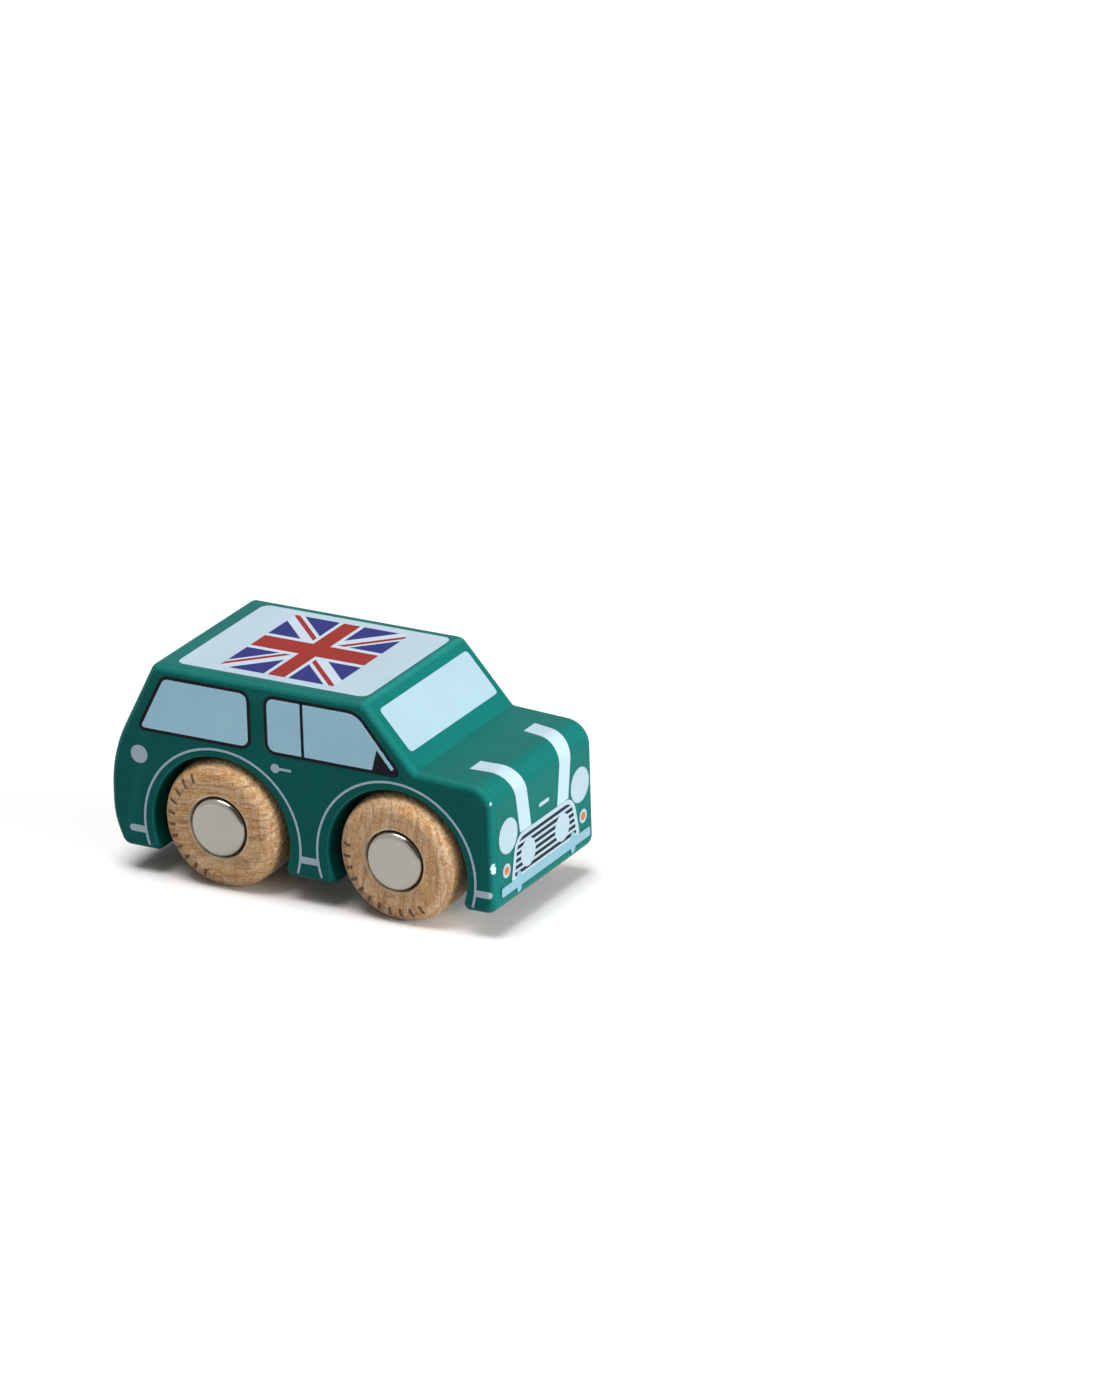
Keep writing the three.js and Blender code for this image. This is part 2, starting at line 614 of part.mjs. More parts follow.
// Heights on the front face, stacked up from the bumper
const BUMPER_Z = BOTTOM_Z + BUMPER_RISE;
const GRILLE_Z = BUMPER_Z + BUMPER_THICKNESS;
const GRILLE_TOP = GRILLE_Z + GRILLE_HEIGHT;
const GRILLE_HALF = HALF_WIDTH - GRILLE_INSET;
const HEADLAMP_Y = HALF_WIDTH - HEADLAMP_INSET;
const HEADLAMP_Z = GRILLE_TOP + HEADLAMP_RISE;

// Pale grille bars and fog lamps in one print, over a dark ground.
function grille(place) {
  const surround = [
    [-GRILLE_HALF, GRILLE_Z, GRILLE_FOOT_ROUND],
    [GRILLE_HALF, GRILLE_Z, GRILLE_FOOT_ROUND],
    [GRILLE_HALF - GRILLE_TAPER, GRILLE_TOP, GRILLE_ROUND],
    [GRILLE_TAPER - GRILLE_HALF, GRILLE_TOP, GRILLE_ROUND],
  ];
  const inside = offsetCorners(surround, -GRILLE_BAND);
  const [low, high] = [GRILLE_Z, GRILLE_TOP - GRILLE_BAND];
  const pitch = (high - low) / GRILLE_SLOTS;
  const lampZ = (GRILLE_Z + GRILLE_TOP) / 2 - FOG_DROP;
  const lamps = [-1, 1].map((side) => disc((side * GRILLE_HALF) / 2, lampZ, FOG_RADIUS));
  let slots = null;
  for (let i = 0; i < GRILLE_SLOTS; i += 1) {
    const top = high - i * pitch;
    const row = stamp(place, panel(-GRILLE_HALF, top - GRILLE_SLOT, GRILLE_HALF, top));
    slots = slots ? slots.add(row) : row;
  }
  const within = [[inside[0][0], low, 0], [inside[1][0], low, 0], inside[2], inside[3]];
  slots = slots.intersect(stamp(place, roundedShape(within)));
  for (const lamp of lamps) slots = slots.subtract(stamp(place, lamp, LAMP_ARC_STEPS));
  const bars = printed(1, place, roundedShape(surround)).subtract(slots);
  const ground = printed(0, place, roundedShape(offsetCorners(surround, -GRILLE_BAND / 2)));
  return [
    piece('grille_ground', ground, SLATE, INK_ROUGHNESS),
    piece('grille_bars', bars, PALE, INK_ROUGHNESS),
  ];
}

// Bonnet stripe, laid along the hood, over the nose and down to the grille, seen from ahead and above.
function stripe(name, side) {
  const slant = Math.SQRT1_2;
  const across = ([x, z]) => (z - x) * slant;
  const along = ([x, z]) => (x + z) * slant;
  const start = [FRONT_X - STRIPE_LENGTH_ON_HOOD, hoodZ(FRONT_X - STRIPE_LENGTH_ON_HOOD)];
  const bend = [FRONT_X - NOSE_ROUND, hoodZ(FRONT_X - NOSE_ROUND)];
  const foot = [FRONT_X, GRILLE_TOP + FILM_GAP];
  const outermost = along([FRONT_X, hoodZ(FRONT_X)]);
  const reach = outermost - Math.min(along(start), along(foot)) + OVERSHOOT;
  const place = face([outermost * slant, 0, outermost * slant], [0, 1, 0], [-slant, 0, slant], reach);
  const startY = side * (HALF_WIDTH - STRIPE_INSET);
  const bendY = side * (HALF_WIDTH - STRIPE_NOSE_INSET);
  const footY = side * (HEADLAMP_Y - HEADLAMP_RADIUS - STRIPE_LAMP_GAP - STRIPE_WIDTH / 2);
  const half = STRIPE_WIDTH / 2;
  const shape = new THREE.Shape();
  shape.moveTo(startY - half, across(start));
  shape.quadraticCurveTo(bendY - half, across(bend), footY - half, across(foot));
  shape.lineTo(footY + half, across(foot));
  shape.quadraticCurveTo(bendY + half, across(bend), startY + half, across(start));
  return printPiece(name, 0, place, shape, PALE, 2 * LAMP_ARC_STEPS);
}

function frontPrints() {
  const place = face([FRONT_X, 0, 0], [0, 1, 0], [0, 0, 1], EDGE_ROUND + OVERSHOOT);
  const bumperHalf = HALF_WIDTH - BUMPER_INSET;
  let bumper = printed(2, place, panel(-bumperHalf, BUMPER_Z, bumperHalf, GRILLE_Z, BUMPER_ROUND));
  const prints = grille(place);
  for (const [name, side] of [['left', 1], ['right', -1]]) {
    const overriderY = side * (HALF_WIDTH - OVERRIDER_INSET);
    const [low, high] = [BUMPER_Z - OVERRIDER_REACH, GRILLE_Z + OVERRIDER_REACH];
    const half = OVERRIDER_WIDTH / 2;
    bumper = bumper.add(printed(2, place, panel(overriderY - half, low, overriderY + half, high, half)));
    const headlamp = disc(side * HEADLAMP_Y, HEADLAMP_Z, HEADLAMP_RADIUS);
    const indicator = [side * (HALF_WIDTH - INDICATOR_INSET), GRILLE_Z + INDICATOR_RISE];
    prints.push(
      printPiece(`headlamp_${name}`, 0, place, headlamp, PALE, LAMP_ARC_STEPS),
      printPiece(`indicator_ring_${name}`, 0, place, disc(...indicator, INDICATOR_RADIUS), PALE),
      printPiece(`indicator_lens_${name}`, 1, place, disc(...indicator, INDICATOR_LENS_RADIUS), AMBER),
      stripe(`bonnet_stripe_${name}`, side),
    );
  }
  const catchHalf = CATCH_SHARE * (HEADLAMP_Y - HEADLAMP_RADIUS - STRIPE_LAMP_GAP - STRIPE_WIDTH);
  const catchZ = GRILLE_TOP + CATCH_RISE;
  const [catchLow, catchHigh] = [catchZ - CATCH_THICKNESS / 2, catchZ + CATCH_THICKNESS / 2];
  const catchBar = panel(-catchHalf, catchLow, catchHalf, catchHigh, CATCH_THICKNESS / 2);
  prints.push(piece('front_bumper', bumper, SILVER, INK_ROUGHNESS));
  prints.push(printPiece('bonnet_catch', 0, place, catchBar, PALE));
  return prints;
}

function screenPrint() {
  const angle = THREE.MathUtils.degToRad(SCREEN_ANGLE_DEG);
  const length = (ROOF_Z - COWL_Z) / Math.sin(angle);
  const place = face([COWL_X, 0, COWL_Z], [0, 1, 0], [-Math.cos(angle), 0, Math.sin(angle)], OVERSHOOT);
  const half = HALF_WIDTH - SCREEN_SIDE_MARGIN;
  const pane = panel(-half, SCREEN_FOOT_MARGIN, half, length - SCREEN_HEAD_MARGIN, SCREEN_CORNER);
  return printPiece('windscreen', 0, place, pane, SCREEN_BLUE);
}

// Pale roof panel with the crossed flag printed over it in blue, then white, then red.
function roofPrints() {
  const place = face([0, 0, ROOF_Z], [1, 0, 0], [0, 1, 0], OVERSHOOT);
  const panelHalf = HALF_WIDTH - PANEL_SIDE_MARGIN;
  const [panelRear, panelFront] = [backX(ROOF_Z) + PANEL_REAR_MARGIN, screenX(ROOF_Z) - PANEL_FRONT_MARGIN];
  const [rear, front] = [panelRear + FLAG_END_MARGIN, panelFront - FLAG_END_MARGIN];
  const [middle, halfLength, half] = [(rear + front) / 2, (front - rear) / 2, panelHalf - FLAG_SIDE_MARGIN];
  const ground = panel(panelRear, -panelHalf, panelFront, panelHalf, PANEL_CORNER);
  const field = panel(rear, -half, front, half);
  const armAlong = (edge) => {
    const reach = CROSS_ARM_ALONG / 2 + edge;
    return panel(rear, -reach, front, reach);
  };
  const armAcross = (edge) => {
    const reach = CROSS_ARM_ACROSS / 2 + edge;
    return panel(middle - reach, -half, middle + reach, half);
  };
  const upright = stamp(place, armAlong(CROSS_EDGE_ALONG)).add(stamp(place, armAcross(CROSS_EDGE_ACROSS)));
  const redCross = printed(3, place, armAlong(0)).add(printed(3, place, armAcross(0)));

  // Band of a diagonal, from its corner of the flag in to the cross.
  const diagonal = ([endwards, sidewards], low, high, level) => {
    const [x, y] = [endwards * halfLength, sidewards * half];
    const inwards = new THREE.Vector2(-x, sidewards * SALTIRE_AIM - y);
    const length = inwards.length();
    inwards.normalize();
    const start = [middle + x, y, ROOF_Z];
    const arm = face(start, [inwards.x, inwards.y, 0], [-inwards.y, inwards.x, 0], OVERSHOOT);
    const shift = endwards * sidewards * SALTIRE_SHIFT;
    const band = panel(-SALTIRE_WIDTH, low + shift, length, high + shift);
    return printed(level, arm, band).intersect(stamp(place, field));
  };
  const edge = SALTIRE_WIDTH / 2;
  const redEdge = edge - SALTIRE_THIN_EDGE;
  const corners = [[-1, 1], [-1, -1], [1, -1], [1, 1]];
  let white = coat(2).intersect(upright);
  for (const corner of corners) white = white.add(diagonal(corner, -edge, edge, 2));
  const saltire = corners.map((corner, i) => {
    const red = diagonal(corner, redEdge - SALTIRE_RED, redEdge, 3).subtract(upright);
    return piece(`flag_saltire_${i + 1}`, red, RED, INK_ROUGHNESS);
  });
  return [
    printPiece('roof_panel', 0, place, ground, PANEL_BLUE),
    printPiece('flag_field', 1, place, field, NAVY),
    piece('flag_white', white, WHITE, INK_ROUGHNESS),
    piece('flag_cross', redCross, RED, INK_ROUGHNESS),
    ...saltire,
  ];
}

// Back window on the slope, tail lamps and bumper round the tail.
function tailPrints() {
  const angle = THREE.MathUtils.degToRad(BACK_SLANT_DEG);
  const slope = face([REAR_X, 0, BULGE_Z], [0, -1, 0], [Math.sin(angle), 0, Math.cos(angle)], OVERSHOOT);
  const foot = BULGE_ROUND * Math.tan(angle / 2) + BACKLIGHT_FOOT_MARGIN;
  const head = (ROOF_Z - BULGE_Z) / Math.cos(angle) - BACKLIGHT_HEAD_MARGIN;
  const half = HALF_WIDTH - BACKLIGHT_SIDE_MARGIN;
  const behind = face([REAR_X, 0, 0], [0, -1, 0], [0, 0, 1], REAR_POST);
  const bumperHalf = HALF_WIDTH - BUMPER_INSET;
  const [low, high] = [TRIM_BAR_Z - TRIM_BAR_THICKNESS / 2, TRIM_BAR_Z + TRIM_BAR_THICKNESS / 2];
  const lampY = HALF_WIDTH - TAIL_LAMP_INSET;
  const lamp = (y) => disc(y, HEADLAMP_Z, TAIL_LAMP_RADIUS);
  return [
    printPiece('back_window', 0, slope, panel(-half, foot, half, head, WINDOW_ROUND), SCREEN_BLUE),
    printPiece('tail_lamp_left', 0, behind, lamp(-lampY), TAIL_RED, LAMP_ARC_STEPS),
    printPiece('tail_lamp_right', 0, behind, lamp(lampY), TAIL_RED, LAMP_ARC_STEPS),
    printPiece('rear_bumper', 0, behind, panel(-bumperHalf, low, bumperHalf, high, BUMPER_ROUND), SILVER),
  ];
}

const car = new THREE.Group();
const body = new THREE.Group();
body.add(piece('body_block', bodyBlock(), GREEN, PAINT_ROUGHNESS));
body.add(...sidePrints('right', 1), ...sidePrints('left', -1));
body.add(...frontPrints(), screenPrint(), ...roofPrints(), ...tailPrints());
car.add(body, wheelSet('front', FRONT_AXLE_X), wheelSet('rear', REAR_AXLE_X));

export default car;
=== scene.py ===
"""Looks of a wooden toy car: a painted block on beech wheels, set up for a studio picture.

The printed windows, the lamps of the front, the grille and the small prints keep their solids and get ink
finishes. The block, the wheels, the hub caps, the roof's prints and the prints that bend round the block are
surfaces that stand for their solids.
"""

import json
import math

import bmesh
import bpy
import numpy as np
from mathutils import Matrix, Vector


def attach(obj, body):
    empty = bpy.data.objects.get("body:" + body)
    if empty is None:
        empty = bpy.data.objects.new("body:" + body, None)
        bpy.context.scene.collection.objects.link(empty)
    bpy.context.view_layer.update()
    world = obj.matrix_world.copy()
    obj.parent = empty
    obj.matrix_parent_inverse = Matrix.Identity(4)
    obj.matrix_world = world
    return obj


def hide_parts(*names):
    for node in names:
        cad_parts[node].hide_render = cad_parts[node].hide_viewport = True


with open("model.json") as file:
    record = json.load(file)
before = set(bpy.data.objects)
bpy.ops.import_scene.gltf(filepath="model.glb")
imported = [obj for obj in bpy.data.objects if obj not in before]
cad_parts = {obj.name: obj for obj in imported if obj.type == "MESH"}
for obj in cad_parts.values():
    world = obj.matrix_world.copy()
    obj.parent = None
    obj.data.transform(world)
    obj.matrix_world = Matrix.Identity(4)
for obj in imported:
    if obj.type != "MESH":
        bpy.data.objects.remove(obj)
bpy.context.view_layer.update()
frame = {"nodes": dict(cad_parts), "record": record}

MM = 0.001
ENDS = ("front", "rear")
SIDES = {"left": 1, "right": -1}

# Sizes in millimetres, the same as those of the solids
AXLE_X = {"front": 24.425, "rear": -20.475}
AXLE_Z = 15.0
WHEEL_RADIUS = 15.0
WHEEL_WIDTH = 11.0
RIM_ROUND = 4.0
BACK_ROUND = 2.0
BORE_RADIUS = 2.3
SEAT_RADIUS = 7.25
SEAT_DEPTH = 2.6
SEAT_CHAMFER = 0.3
CAP_RADIUS = 6.9
CAP_HEIGHT = 3.1
CAP_PROUD = 0.8
CAP_WALL = 0.5
CAP_ROUND = 1.4
CAP_LIP = 0.8
HALF_WIDTH = 22.5
WHEEL_FACE = 23.7
EDGE_ROUND = 2.0
ARCH_RADIUS = 17.5
ARCH_Z = 13.65
ARCH_MOUTH_ROUND = 0.6
ARCH_TOE_ROUND = 1.2
POCKET_FLOOR = 12.2
BOTTOM_Z = 5.7
FRONT_X = 49.025
ROOF_Z = 50.725
COWL = (29.725, 36.625)
HOOD_FALL = math.tan(math.radians(2.75))
SCREEN_SLOPE = math.tan(math.radians(48.8))
BULGE_Z = 27.2
BACK_SLANT = math.tan(math.radians(27.3))
TUCK_Z = 12.3
TUCK_RUN = 6.6 * math.tan(math.radians(22.0))
FILM_TOP = 0.04
FILM_ROOT = -0.06
BAR_TOP = 0.025
TRIM_X = {"front": 24.125, "rear": -20.175}
TRIM_Z = 13.1
TRIM_RADIUS = 20.0
TRIM_WIDTH = 0.55
TRIM_END = math.radians(17.5)
TRIM_BAR_Z = 10.6
TRIM_BAR_THICKNESS = 1.6
TRIM_BAR_LENGTH = 4.2
STRIPE_WIDTH = 4.95
STRIPE_START = 38.975
STRIPE_BEND = 43.325
STRIPE_FOOT = 21.42
STRIPE_Y = (12.1, 11.7, 8.325)
TAIL_LAMP = (16.1, 22.7, 2.0)
REAR_BUMPER_HALF = 19.9
REAR_BUMPER_ROUND = 0.7
PANEL = (-32.433, 15.981, 19.3, 2.2)
FLAG = (-8.226, 14.557, 16.7)
CROSS_HALF = (2.15, 3.2)
CROSS_EDGE = (1.0, 1.4)
SALTIRE_HALF = 2.2
SALTIRE_RED = (0.1, 1.3)
SALTIRE_AIM = 2.2
SALTIRE_SHIFT = 0.5
FLAG_CORNERS = ((-1, 1), (-1, -1), (1, -1), (1, 1))
BEYOND_FLAG = 99.0
PANEL_COAT = 0.03
GROUND_COAT = 0.045
COLOUR_COAT = 0.06

# Signs of a rectangle's corners, anticlockwise, and of a film's section: to either side, and how high
CORNERS = np.array([(1, 1), (-1, 1), (-1, -1), (1, -1)])
FILM_SECTION = ((-1, FILM_ROOT), (-1, FILM_TOP), (1, FILM_TOP), (1, FILM_ROOT))

# How finely the surfaces are divided
ARC_STEPS = 12
POCKET_STEPS = 72
TRIM_STEPS = 320
TOE_STEPS = 6
CHORD_STEPS = 8
STRIP_STEPS = 4
BAR_STEPS = 24
DISC_STEPS = 32
STRIPE_STEPS = 8
SWING_POINTS = 400
TURN_STEPS = 128
WELD = 1e-4
TINY = 1e-12
SHARP_ANGLE = math.radians(28)
TIGHT_ROUND = 3.0


def hood_z(x):
    """Height of the hood's plane, which falls evenly towards the nose."""
    return COWL[1] - (x - COWL[0]) * HOOD_FALL


# Corners of the side outline: x, z and the radius that rounds each, anticlockwise from the front foot
OUTLINE_CORNERS = np.array([
    (FRONT_X, BOTTOM_Z, 3.2),
    (FRONT_X, hood_z(FRONT_X), 5.7),
    (*COWL, 0.8),
    (COWL[0] - (ROOF_Z - COWL[1]) / SCREEN_SLOPE, ROOF_Z, 2.8),
    (-FRONT_X + (ROOF_Z - BULGE_Z) * BACK_SLANT, ROOF_Z, 2.4),
    (-FRONT_X, BULGE_Z, 34.0),
    (-FRONT_X, TUCK_Z, 20.0),
    (-FRONT_X + TUCK_RUN, BOTTOM_Z, 2.5),
])
NOSE_CORNER = 1
BULGE_CORNER = 5


def side_outline(corners, steps):
    """Outline in which each corner becomes an arc that touches both of its sides, at equal steps of angle.

    The outward normal turns from one side's to the next, and a point is the arc's start plus the radius times
    the change of that normal. Returns points, normals and how tightly each point is rounded, one row for each
    corner.
    """
    place, radius = corners[:, :2], corners[:, 2]
    along = np.roll(place, -1, 0) - place
    along /= np.linalg.norm(along, axis=1, keepdims=True)
    before = np.roll(along, 1, 0)
    turn = np.arctan2(before[:, 0] * along[:, 1] - before[:, 1] * along[:, 0], (before * along).sum(1))
    start = place - before * (radius * np.tan(np.abs(turn) / 2))[:, None]
    outward = np.stack([before[:, 1], -before[:, 0]], 1)
    share = np.linspace(0, 1, steps + 1)
    cos, sin = np.cos(turn[:, None] * share), np.sin(turn[:, None] * share)
    normal = np.stack([
        outward[:, :1] * cos - outward[:, 1:] * sin,
        outward[:, :1] * sin + outward[:, 1:] * cos,
    ], -1)
    reach = (np.sign(turn) * radius)[:, None, None]
    point = start[:, None] + reach * (normal - outward[:, None])
    tight = np.clip(TIGHT_ROUND / radius, 0, 1)[:, None] * np.sin(np.pi * share) * (turn[:, None] > 0)
    return point, normal, tight


OUTLINE, OUTLINE_NORMAL, OUTLINE_TIGHT = side_outline(OUTLINE_CORNERS, ARC_STEPS)


def xyz(x, y, z):
    """Points from three coordinate arrays that broadcast together."""
    return np.stack(np.broadcast_arrays(x, y, z), -1).astype(float)


class Shell:
    """Surfaces gathered into one mesh: grids, tubes and flat faces, welded where they meet."""

    def __init__(self):
        self.points, self.quads, self.flats, self.notes = [], [], [], {}
        self.count = 0

    def add(self, points, **notes):
        """Keeps points and what is noted at them, and gives their numbers in the points' own layout."""
        flat = points.reshape(-1, 3)
        self.points.append(flat)
        for name, value in notes.items():
            value = np.asarray(value, float)
            shape = points.shape[:-1] + value.shape[points.ndim - 1:]
            row = np.broadcast_to(value, shape).reshape(len(flat), *shape[points.ndim - 1:])
            self.notes.setdefault(name, []).append(row)
        numbers = np.arange(self.count, self.count + len(flat)).reshape(points.shape[:-1])
        self.count += len(flat)
        return numbers

    def grid(self, points, close=(False, False), **notes):
        """Four-sided faces between neighbours of a grid of points, joined end to end where it closes."""
        numbers = self.add(points, **notes)
        a = np.concatenate([numbers, numbers[:1]]) if close[0] else numbers
        a = np.concatenate([a, a[:, :1]], 1) if close[1] else a
        self.quads.append(np.stack([a[:-1, :-1], a[1:, :-1], a[1:, 1:], a[:-1, 1:]], -1).reshape(-1, 4))
        return numbers

    def tube(self, rings, **notes):
        """Skin over a row of closed rings, with a flat face over each end."""
        numbers = self.grid(rings, close=(False, True), **notes)
        self.flats += [numbers[0], numbers[-1]]

    def mesh(self, name):
        """Welded mesh with its faces turned outwards and its flats and rounds shaded as such."""
        points = np.concatenate(self.points)
        cells = np.round(points / WELD).astype(np.int64)
        _, first, welded = np.unique(cells, axis=0, return_index=True, return_inverse=True)
        welded = welded.reshape(-1)
        quads = welded[np.concatenate(self.quads)]
        sound = (quads != np.roll(quads, 1, 1)).all(1)
        faces = quads[sound].tolist()
        for face in [*quads[~sound], *[welded[flat] for flat in self.flats]]:
            bare = face[face != np.roll(face, 1)]
            if len(np.unique(bare)) > 2:
                faces.append(bare.tolist())
        mesh = bpy.data.meshes.new(name)
        mesh.from_pydata(points[first] * MM, [], faces)
        for key, rows in self.notes.items():
            value = np.concatenate(rows)[first].astype(np.float32)
            kind, field = ("FLOAT", "value") if value.ndim == 1 else ("FLOAT_VECTOR", "vector")
            mesh.attributes.new(key, kind, "POINT").data.foreach_set(field, value.ravel())
        work = bmesh.new()
        work.from_mesh(mesh)
        bmesh.ops.recalc_face_normals(work, faces=work.faces)
        work.to_mesh(mesh)
        work.free()
        mesh.shade_smooth()
        mesh.set_sharp_from_angle(angle=SHARP_ANGLE)
        return mesh


def piece(name, shell, body, slot, finish, *solids):
    """Object of a shell that rides on a body and stands for its solids."""
    made = bpy.data.objects.new(name, shell.mesh(name))
    bpy.context.scene.collection.objects.link(made)
    made.data.materials.append(finish)
    weighted = made.modifiers.new("flat_faces_lead", "WEIGHTED_NORMAL")
    weighted.keep_sharp = True
    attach(made, body)
    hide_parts(*solids)
    return made


def body_shell():
    """The block: its side outline carried across, drawn in along quarter circles at the sides, less pockets.

    A pocket is a cylinder round its arch's middle whose mouth flares out along a quarter circle. At each foot
    an arc that touches both the cylinder and the underside leads from one to the other, and the strips of the
    underside end where those arcs begin. A fan joins the pocket's floor to the axle's bore.
    """
    shell = Shell()
    tilt = np.linspace(0, np.pi / 2, ARC_STEPS + 1)
    half_y = HALF_WIDTH - EDGE_ROUND + EDGE_ROUND * np.sin(tilt)
    half_in = EDGE_ROUND * (1 - np.cos(tilt))
    half_edge = np.sin(2 * tilt)
    station_y = np.concatenate([-half_y[::-1], [-POCKET_FLOOR, POCKET_FLOOR], half_y])
    station_in = np.concatenate([half_in[::-1], [0, 0], half_in])
    station_edge = np.concatenate([half_edge[::-1], [0, 0], half_edge])

    point = OUTLINE.reshape(-1, 1, 2) - station_in[:, None] * OUTLINE_NORMAL.reshape(-1, 1, 2)
    edge = np.maximum(OUTLINE_TIGHT.reshape(-1, 1), station_edge)
    skin = shell.grid(xyz(point[..., 0], station_y, point[..., 1]), edge=edge)

    flare = np.clip(np.abs(station_y) - (HALF_WIDTH - ARCH_MOUTH_ROUND), 0, None)
    mouth = ARCH_RADIUS + ARCH_MOUTH_ROUND - np.sqrt(np.clip(ARCH_MOUTH_ROUND**2 - flare**2, 0, None))
    foot_z = BOTTOM_Z + station_in
    toe_z = foot_z + ARCH_TOE_ROUND - ARCH_Z
    toe_x = np.sqrt((mouth + ARCH_TOE_ROUND) ** 2 - toe_z**2)
    ends = [
        (np.full_like(toe_x, OUTLINE[-1, -1, 0]), AXLE_X["rear"] - toe_x),
        (AXLE_X["rear"] + toe_x, AXLE_X["front"] - toe_x),
        (AXLE_X["front"] + toe_x, np.full_like(toe_x, OUTLINE[0, 0, 0])),
    ]
    strips = []
    share = np.linspace(0, 1, STRIP_STEPS + 1)[:, None]
    for low, high in ends:
        strips.append(shell.grid(xyz(low + (high - low) * share, station_y, foot_z), edge=station_edge))

    low = np.arctan2(toe_z, toe_x)
    arch = low + (np.pi - 2 * low) * np.linspace(0, 1, POCKET_STEPS + 1)[:, None]
    bend = np.linspace(0, 1, TOE_STEPS + 1)[:-1, None]
    toe = -np.pi / 2 - bend * (np.pi / 2 - low)
    toe_run, toe_rise = toe_x + ARCH_TOE_ROUND * np.cos(toe), toe_z + ARCH_TOE_ROUND * np.sin(toe)
    run = np.concatenate([toe_run, mouth * np.cos(arch), -toe_run[::-1]])
    rise = np.concatenate([toe_rise, mouth * np.sin(arch), toe_rise[::-1]])

    loops = {}
    for end, x in AXLE_X.items():
        chord = np.linspace(-1, 1, CHORD_STEPS + 1) * toe_x[ARC_STEPS + 1]
        floor_y = np.array([-POCKET_FLOOR, POCKET_FLOOR])
        shell.grid(xyz(x + chord[:, None], floor_y, BOTTOM_Z), edge=0.0)
        bores = []
        for side in SIDES.values():
            own = station_y * side >= POCKET_FLOOR
            order = np.argsort(np.abs(station_y[own]))
            y, flared = station_y[own][order], (mouth[own][order] - ARCH_RADIUS) / ARCH_MOUTH_ROUND
            wall = xyz(x + run[:, own][:, order], y, ARCH_Z + rise[:, own][:, order])
            loops[end, side] = shell.grid(wall, edge=4 * flared * (1 - flared))[:, -1]
            floor = np.concatenate([wall[:, 0], xyz(x + chord[1:-1], y[0], BOTTOM_Z)])
            axle = np.array([x, y[0], AXLE_Z])
            spoke = floor - axle
            bore = axle + BORE_RADIUS * spoke / np.linalg.norm(spoke, axis=1, keepdims=True)
            shell.grid(np.stack([bore, (bore + floor) / 2, floor]), close=(False, True), edge=0.0)
            bores.append(bore)
        shell.grid(np.stack(bores), close=(False, True), edge=0.0)

    for side, column in ((1, -1), (-1, 0)):
        around = [
            skin[:, column],
            strips[0][:, column], loops["rear", side][::-1],
            strips[1][:, column], loops["front", side][::-1],
            strips[2][:, column],
        ]
        shell.flats.append(np.concatenate(around))
    return shell


def round_profile(radius, y, size, start, stop):
    """Quarter circle of a turned profile, as radius and height, between two angles in degrees."""
    angle = np.radians(np.linspace(start, stop, ARC_STEPS + 1))
    return np.stack([radius + size * np.cos(angle), y + size * np.sin(angle)], 1)


def turned(shell, profile, end, side, base, closed, **notes):
    """Surface of revolution: a profile of radius and height, carried round the axle of one wheel."""
    angle = np.linspace(0, 2 * np.pi, TURN_STEPS, endpoint=False)
    x = AXLE_X[end] + profile[:, :1] * np.cos(angle)
    z = AXLE_Z + profile[:, :1] * np.sin(angle)
    y = side * (base + profile[:, 1:])
    shell.grid(xyz(x, y, z), close=(closed, True), **notes)


# How each wheel came to rest: where its ring of ticks is centred and how its grain runs, in degrees
WHEEL_TURN = {
    ("front", -1): (236, 84),
    ("rear", -1): (186, 8),
    ("front", 1): (330, 40),
    ("rear", 1): (75, 115),
}


def wheel_shell(end, side):
    """Wheel: a turned profile with a deep round at its face, a counterbore for the cap and the axle's bore.

    Each point is noted in the wheel's own frame, turned as the wheel stands, for its ticks and for its grain.
    The grain also starts from another place in the board for each wheel.
    """
    face = WHEEL_WIDTH
    profile = np.concatenate([
        [(BORE_RADIUS, 0)],
        round_profile(WHEEL_RADIUS - BACK_ROUND, BACK_ROUND, BACK_ROUND, -90, 0),
        round_profile(WHEEL_RADIUS - RIM_ROUND, face - RIM_ROUND, RIM_ROUND, 0, 90),
        [(SEAT_RADIUS + SEAT_CHAMFER, face), (SEAT_RADIUS, face - SEAT_CHAMFER)],
        [(SEAT_RADIUS, face - SEAT_DEPTH), (BORE_RADIUS, face - SEAT_DEPTH)],
    ])
    spin = np.linspace(0, 2 * np.pi, TURN_STEPS, endpoint=False)
    notes = {}
    for key, turn in zip(("ticks", "grain"), WHEEL_TURN[end, side]):
        angle = spin - math.radians(turn)
        notes[key] = xyz(profile[:, :1] * np.cos(angle), profile[:, :1] * np.sin(angle), profile[:, 1:])
    board = (AXLE_X[end] * 3, side * 9.0, AXLE_X[end] * 0.4 + side * 2.5)
    notes["grain"] = notes["grain"] + board
    shell = Shell()
    turned(shell, profile, end, side, WHEEL_FACE - WHEEL_WIDTH, True, **notes)
    return shell


def cap_shell(end, side):
    """Hub cap: a turned cup with a flat top, a small round at its edge and its rim folded in."""
    inside = CAP_RADIUS - CAP_WALL
    profile = np.concatenate([
        [(0, CAP_HEIGHT - CAP_WALL), (CAP_RADIUS - CAP_ROUND, CAP_HEIGHT - CAP_WALL)],
        [(inside, CAP_HEIGHT - CAP_ROUND), (inside, CAP_WALL), (inside - CAP_LIP, CAP_WALL)],
        [(inside - CAP_LIP, 0), (CAP_RADIUS, 0)],
        round_profile(CAP_RADIUS - CAP_ROUND, CAP_HEIGHT - CAP_ROUND, CAP_ROUND, 0, 90),
        [(0, CAP_HEIGHT)],
    ])
    shell = Shell()
    turned(shell, profile, end, side, WHEEL_FACE + CAP_PROUD - CAP_HEIGHT, False)
    return shell


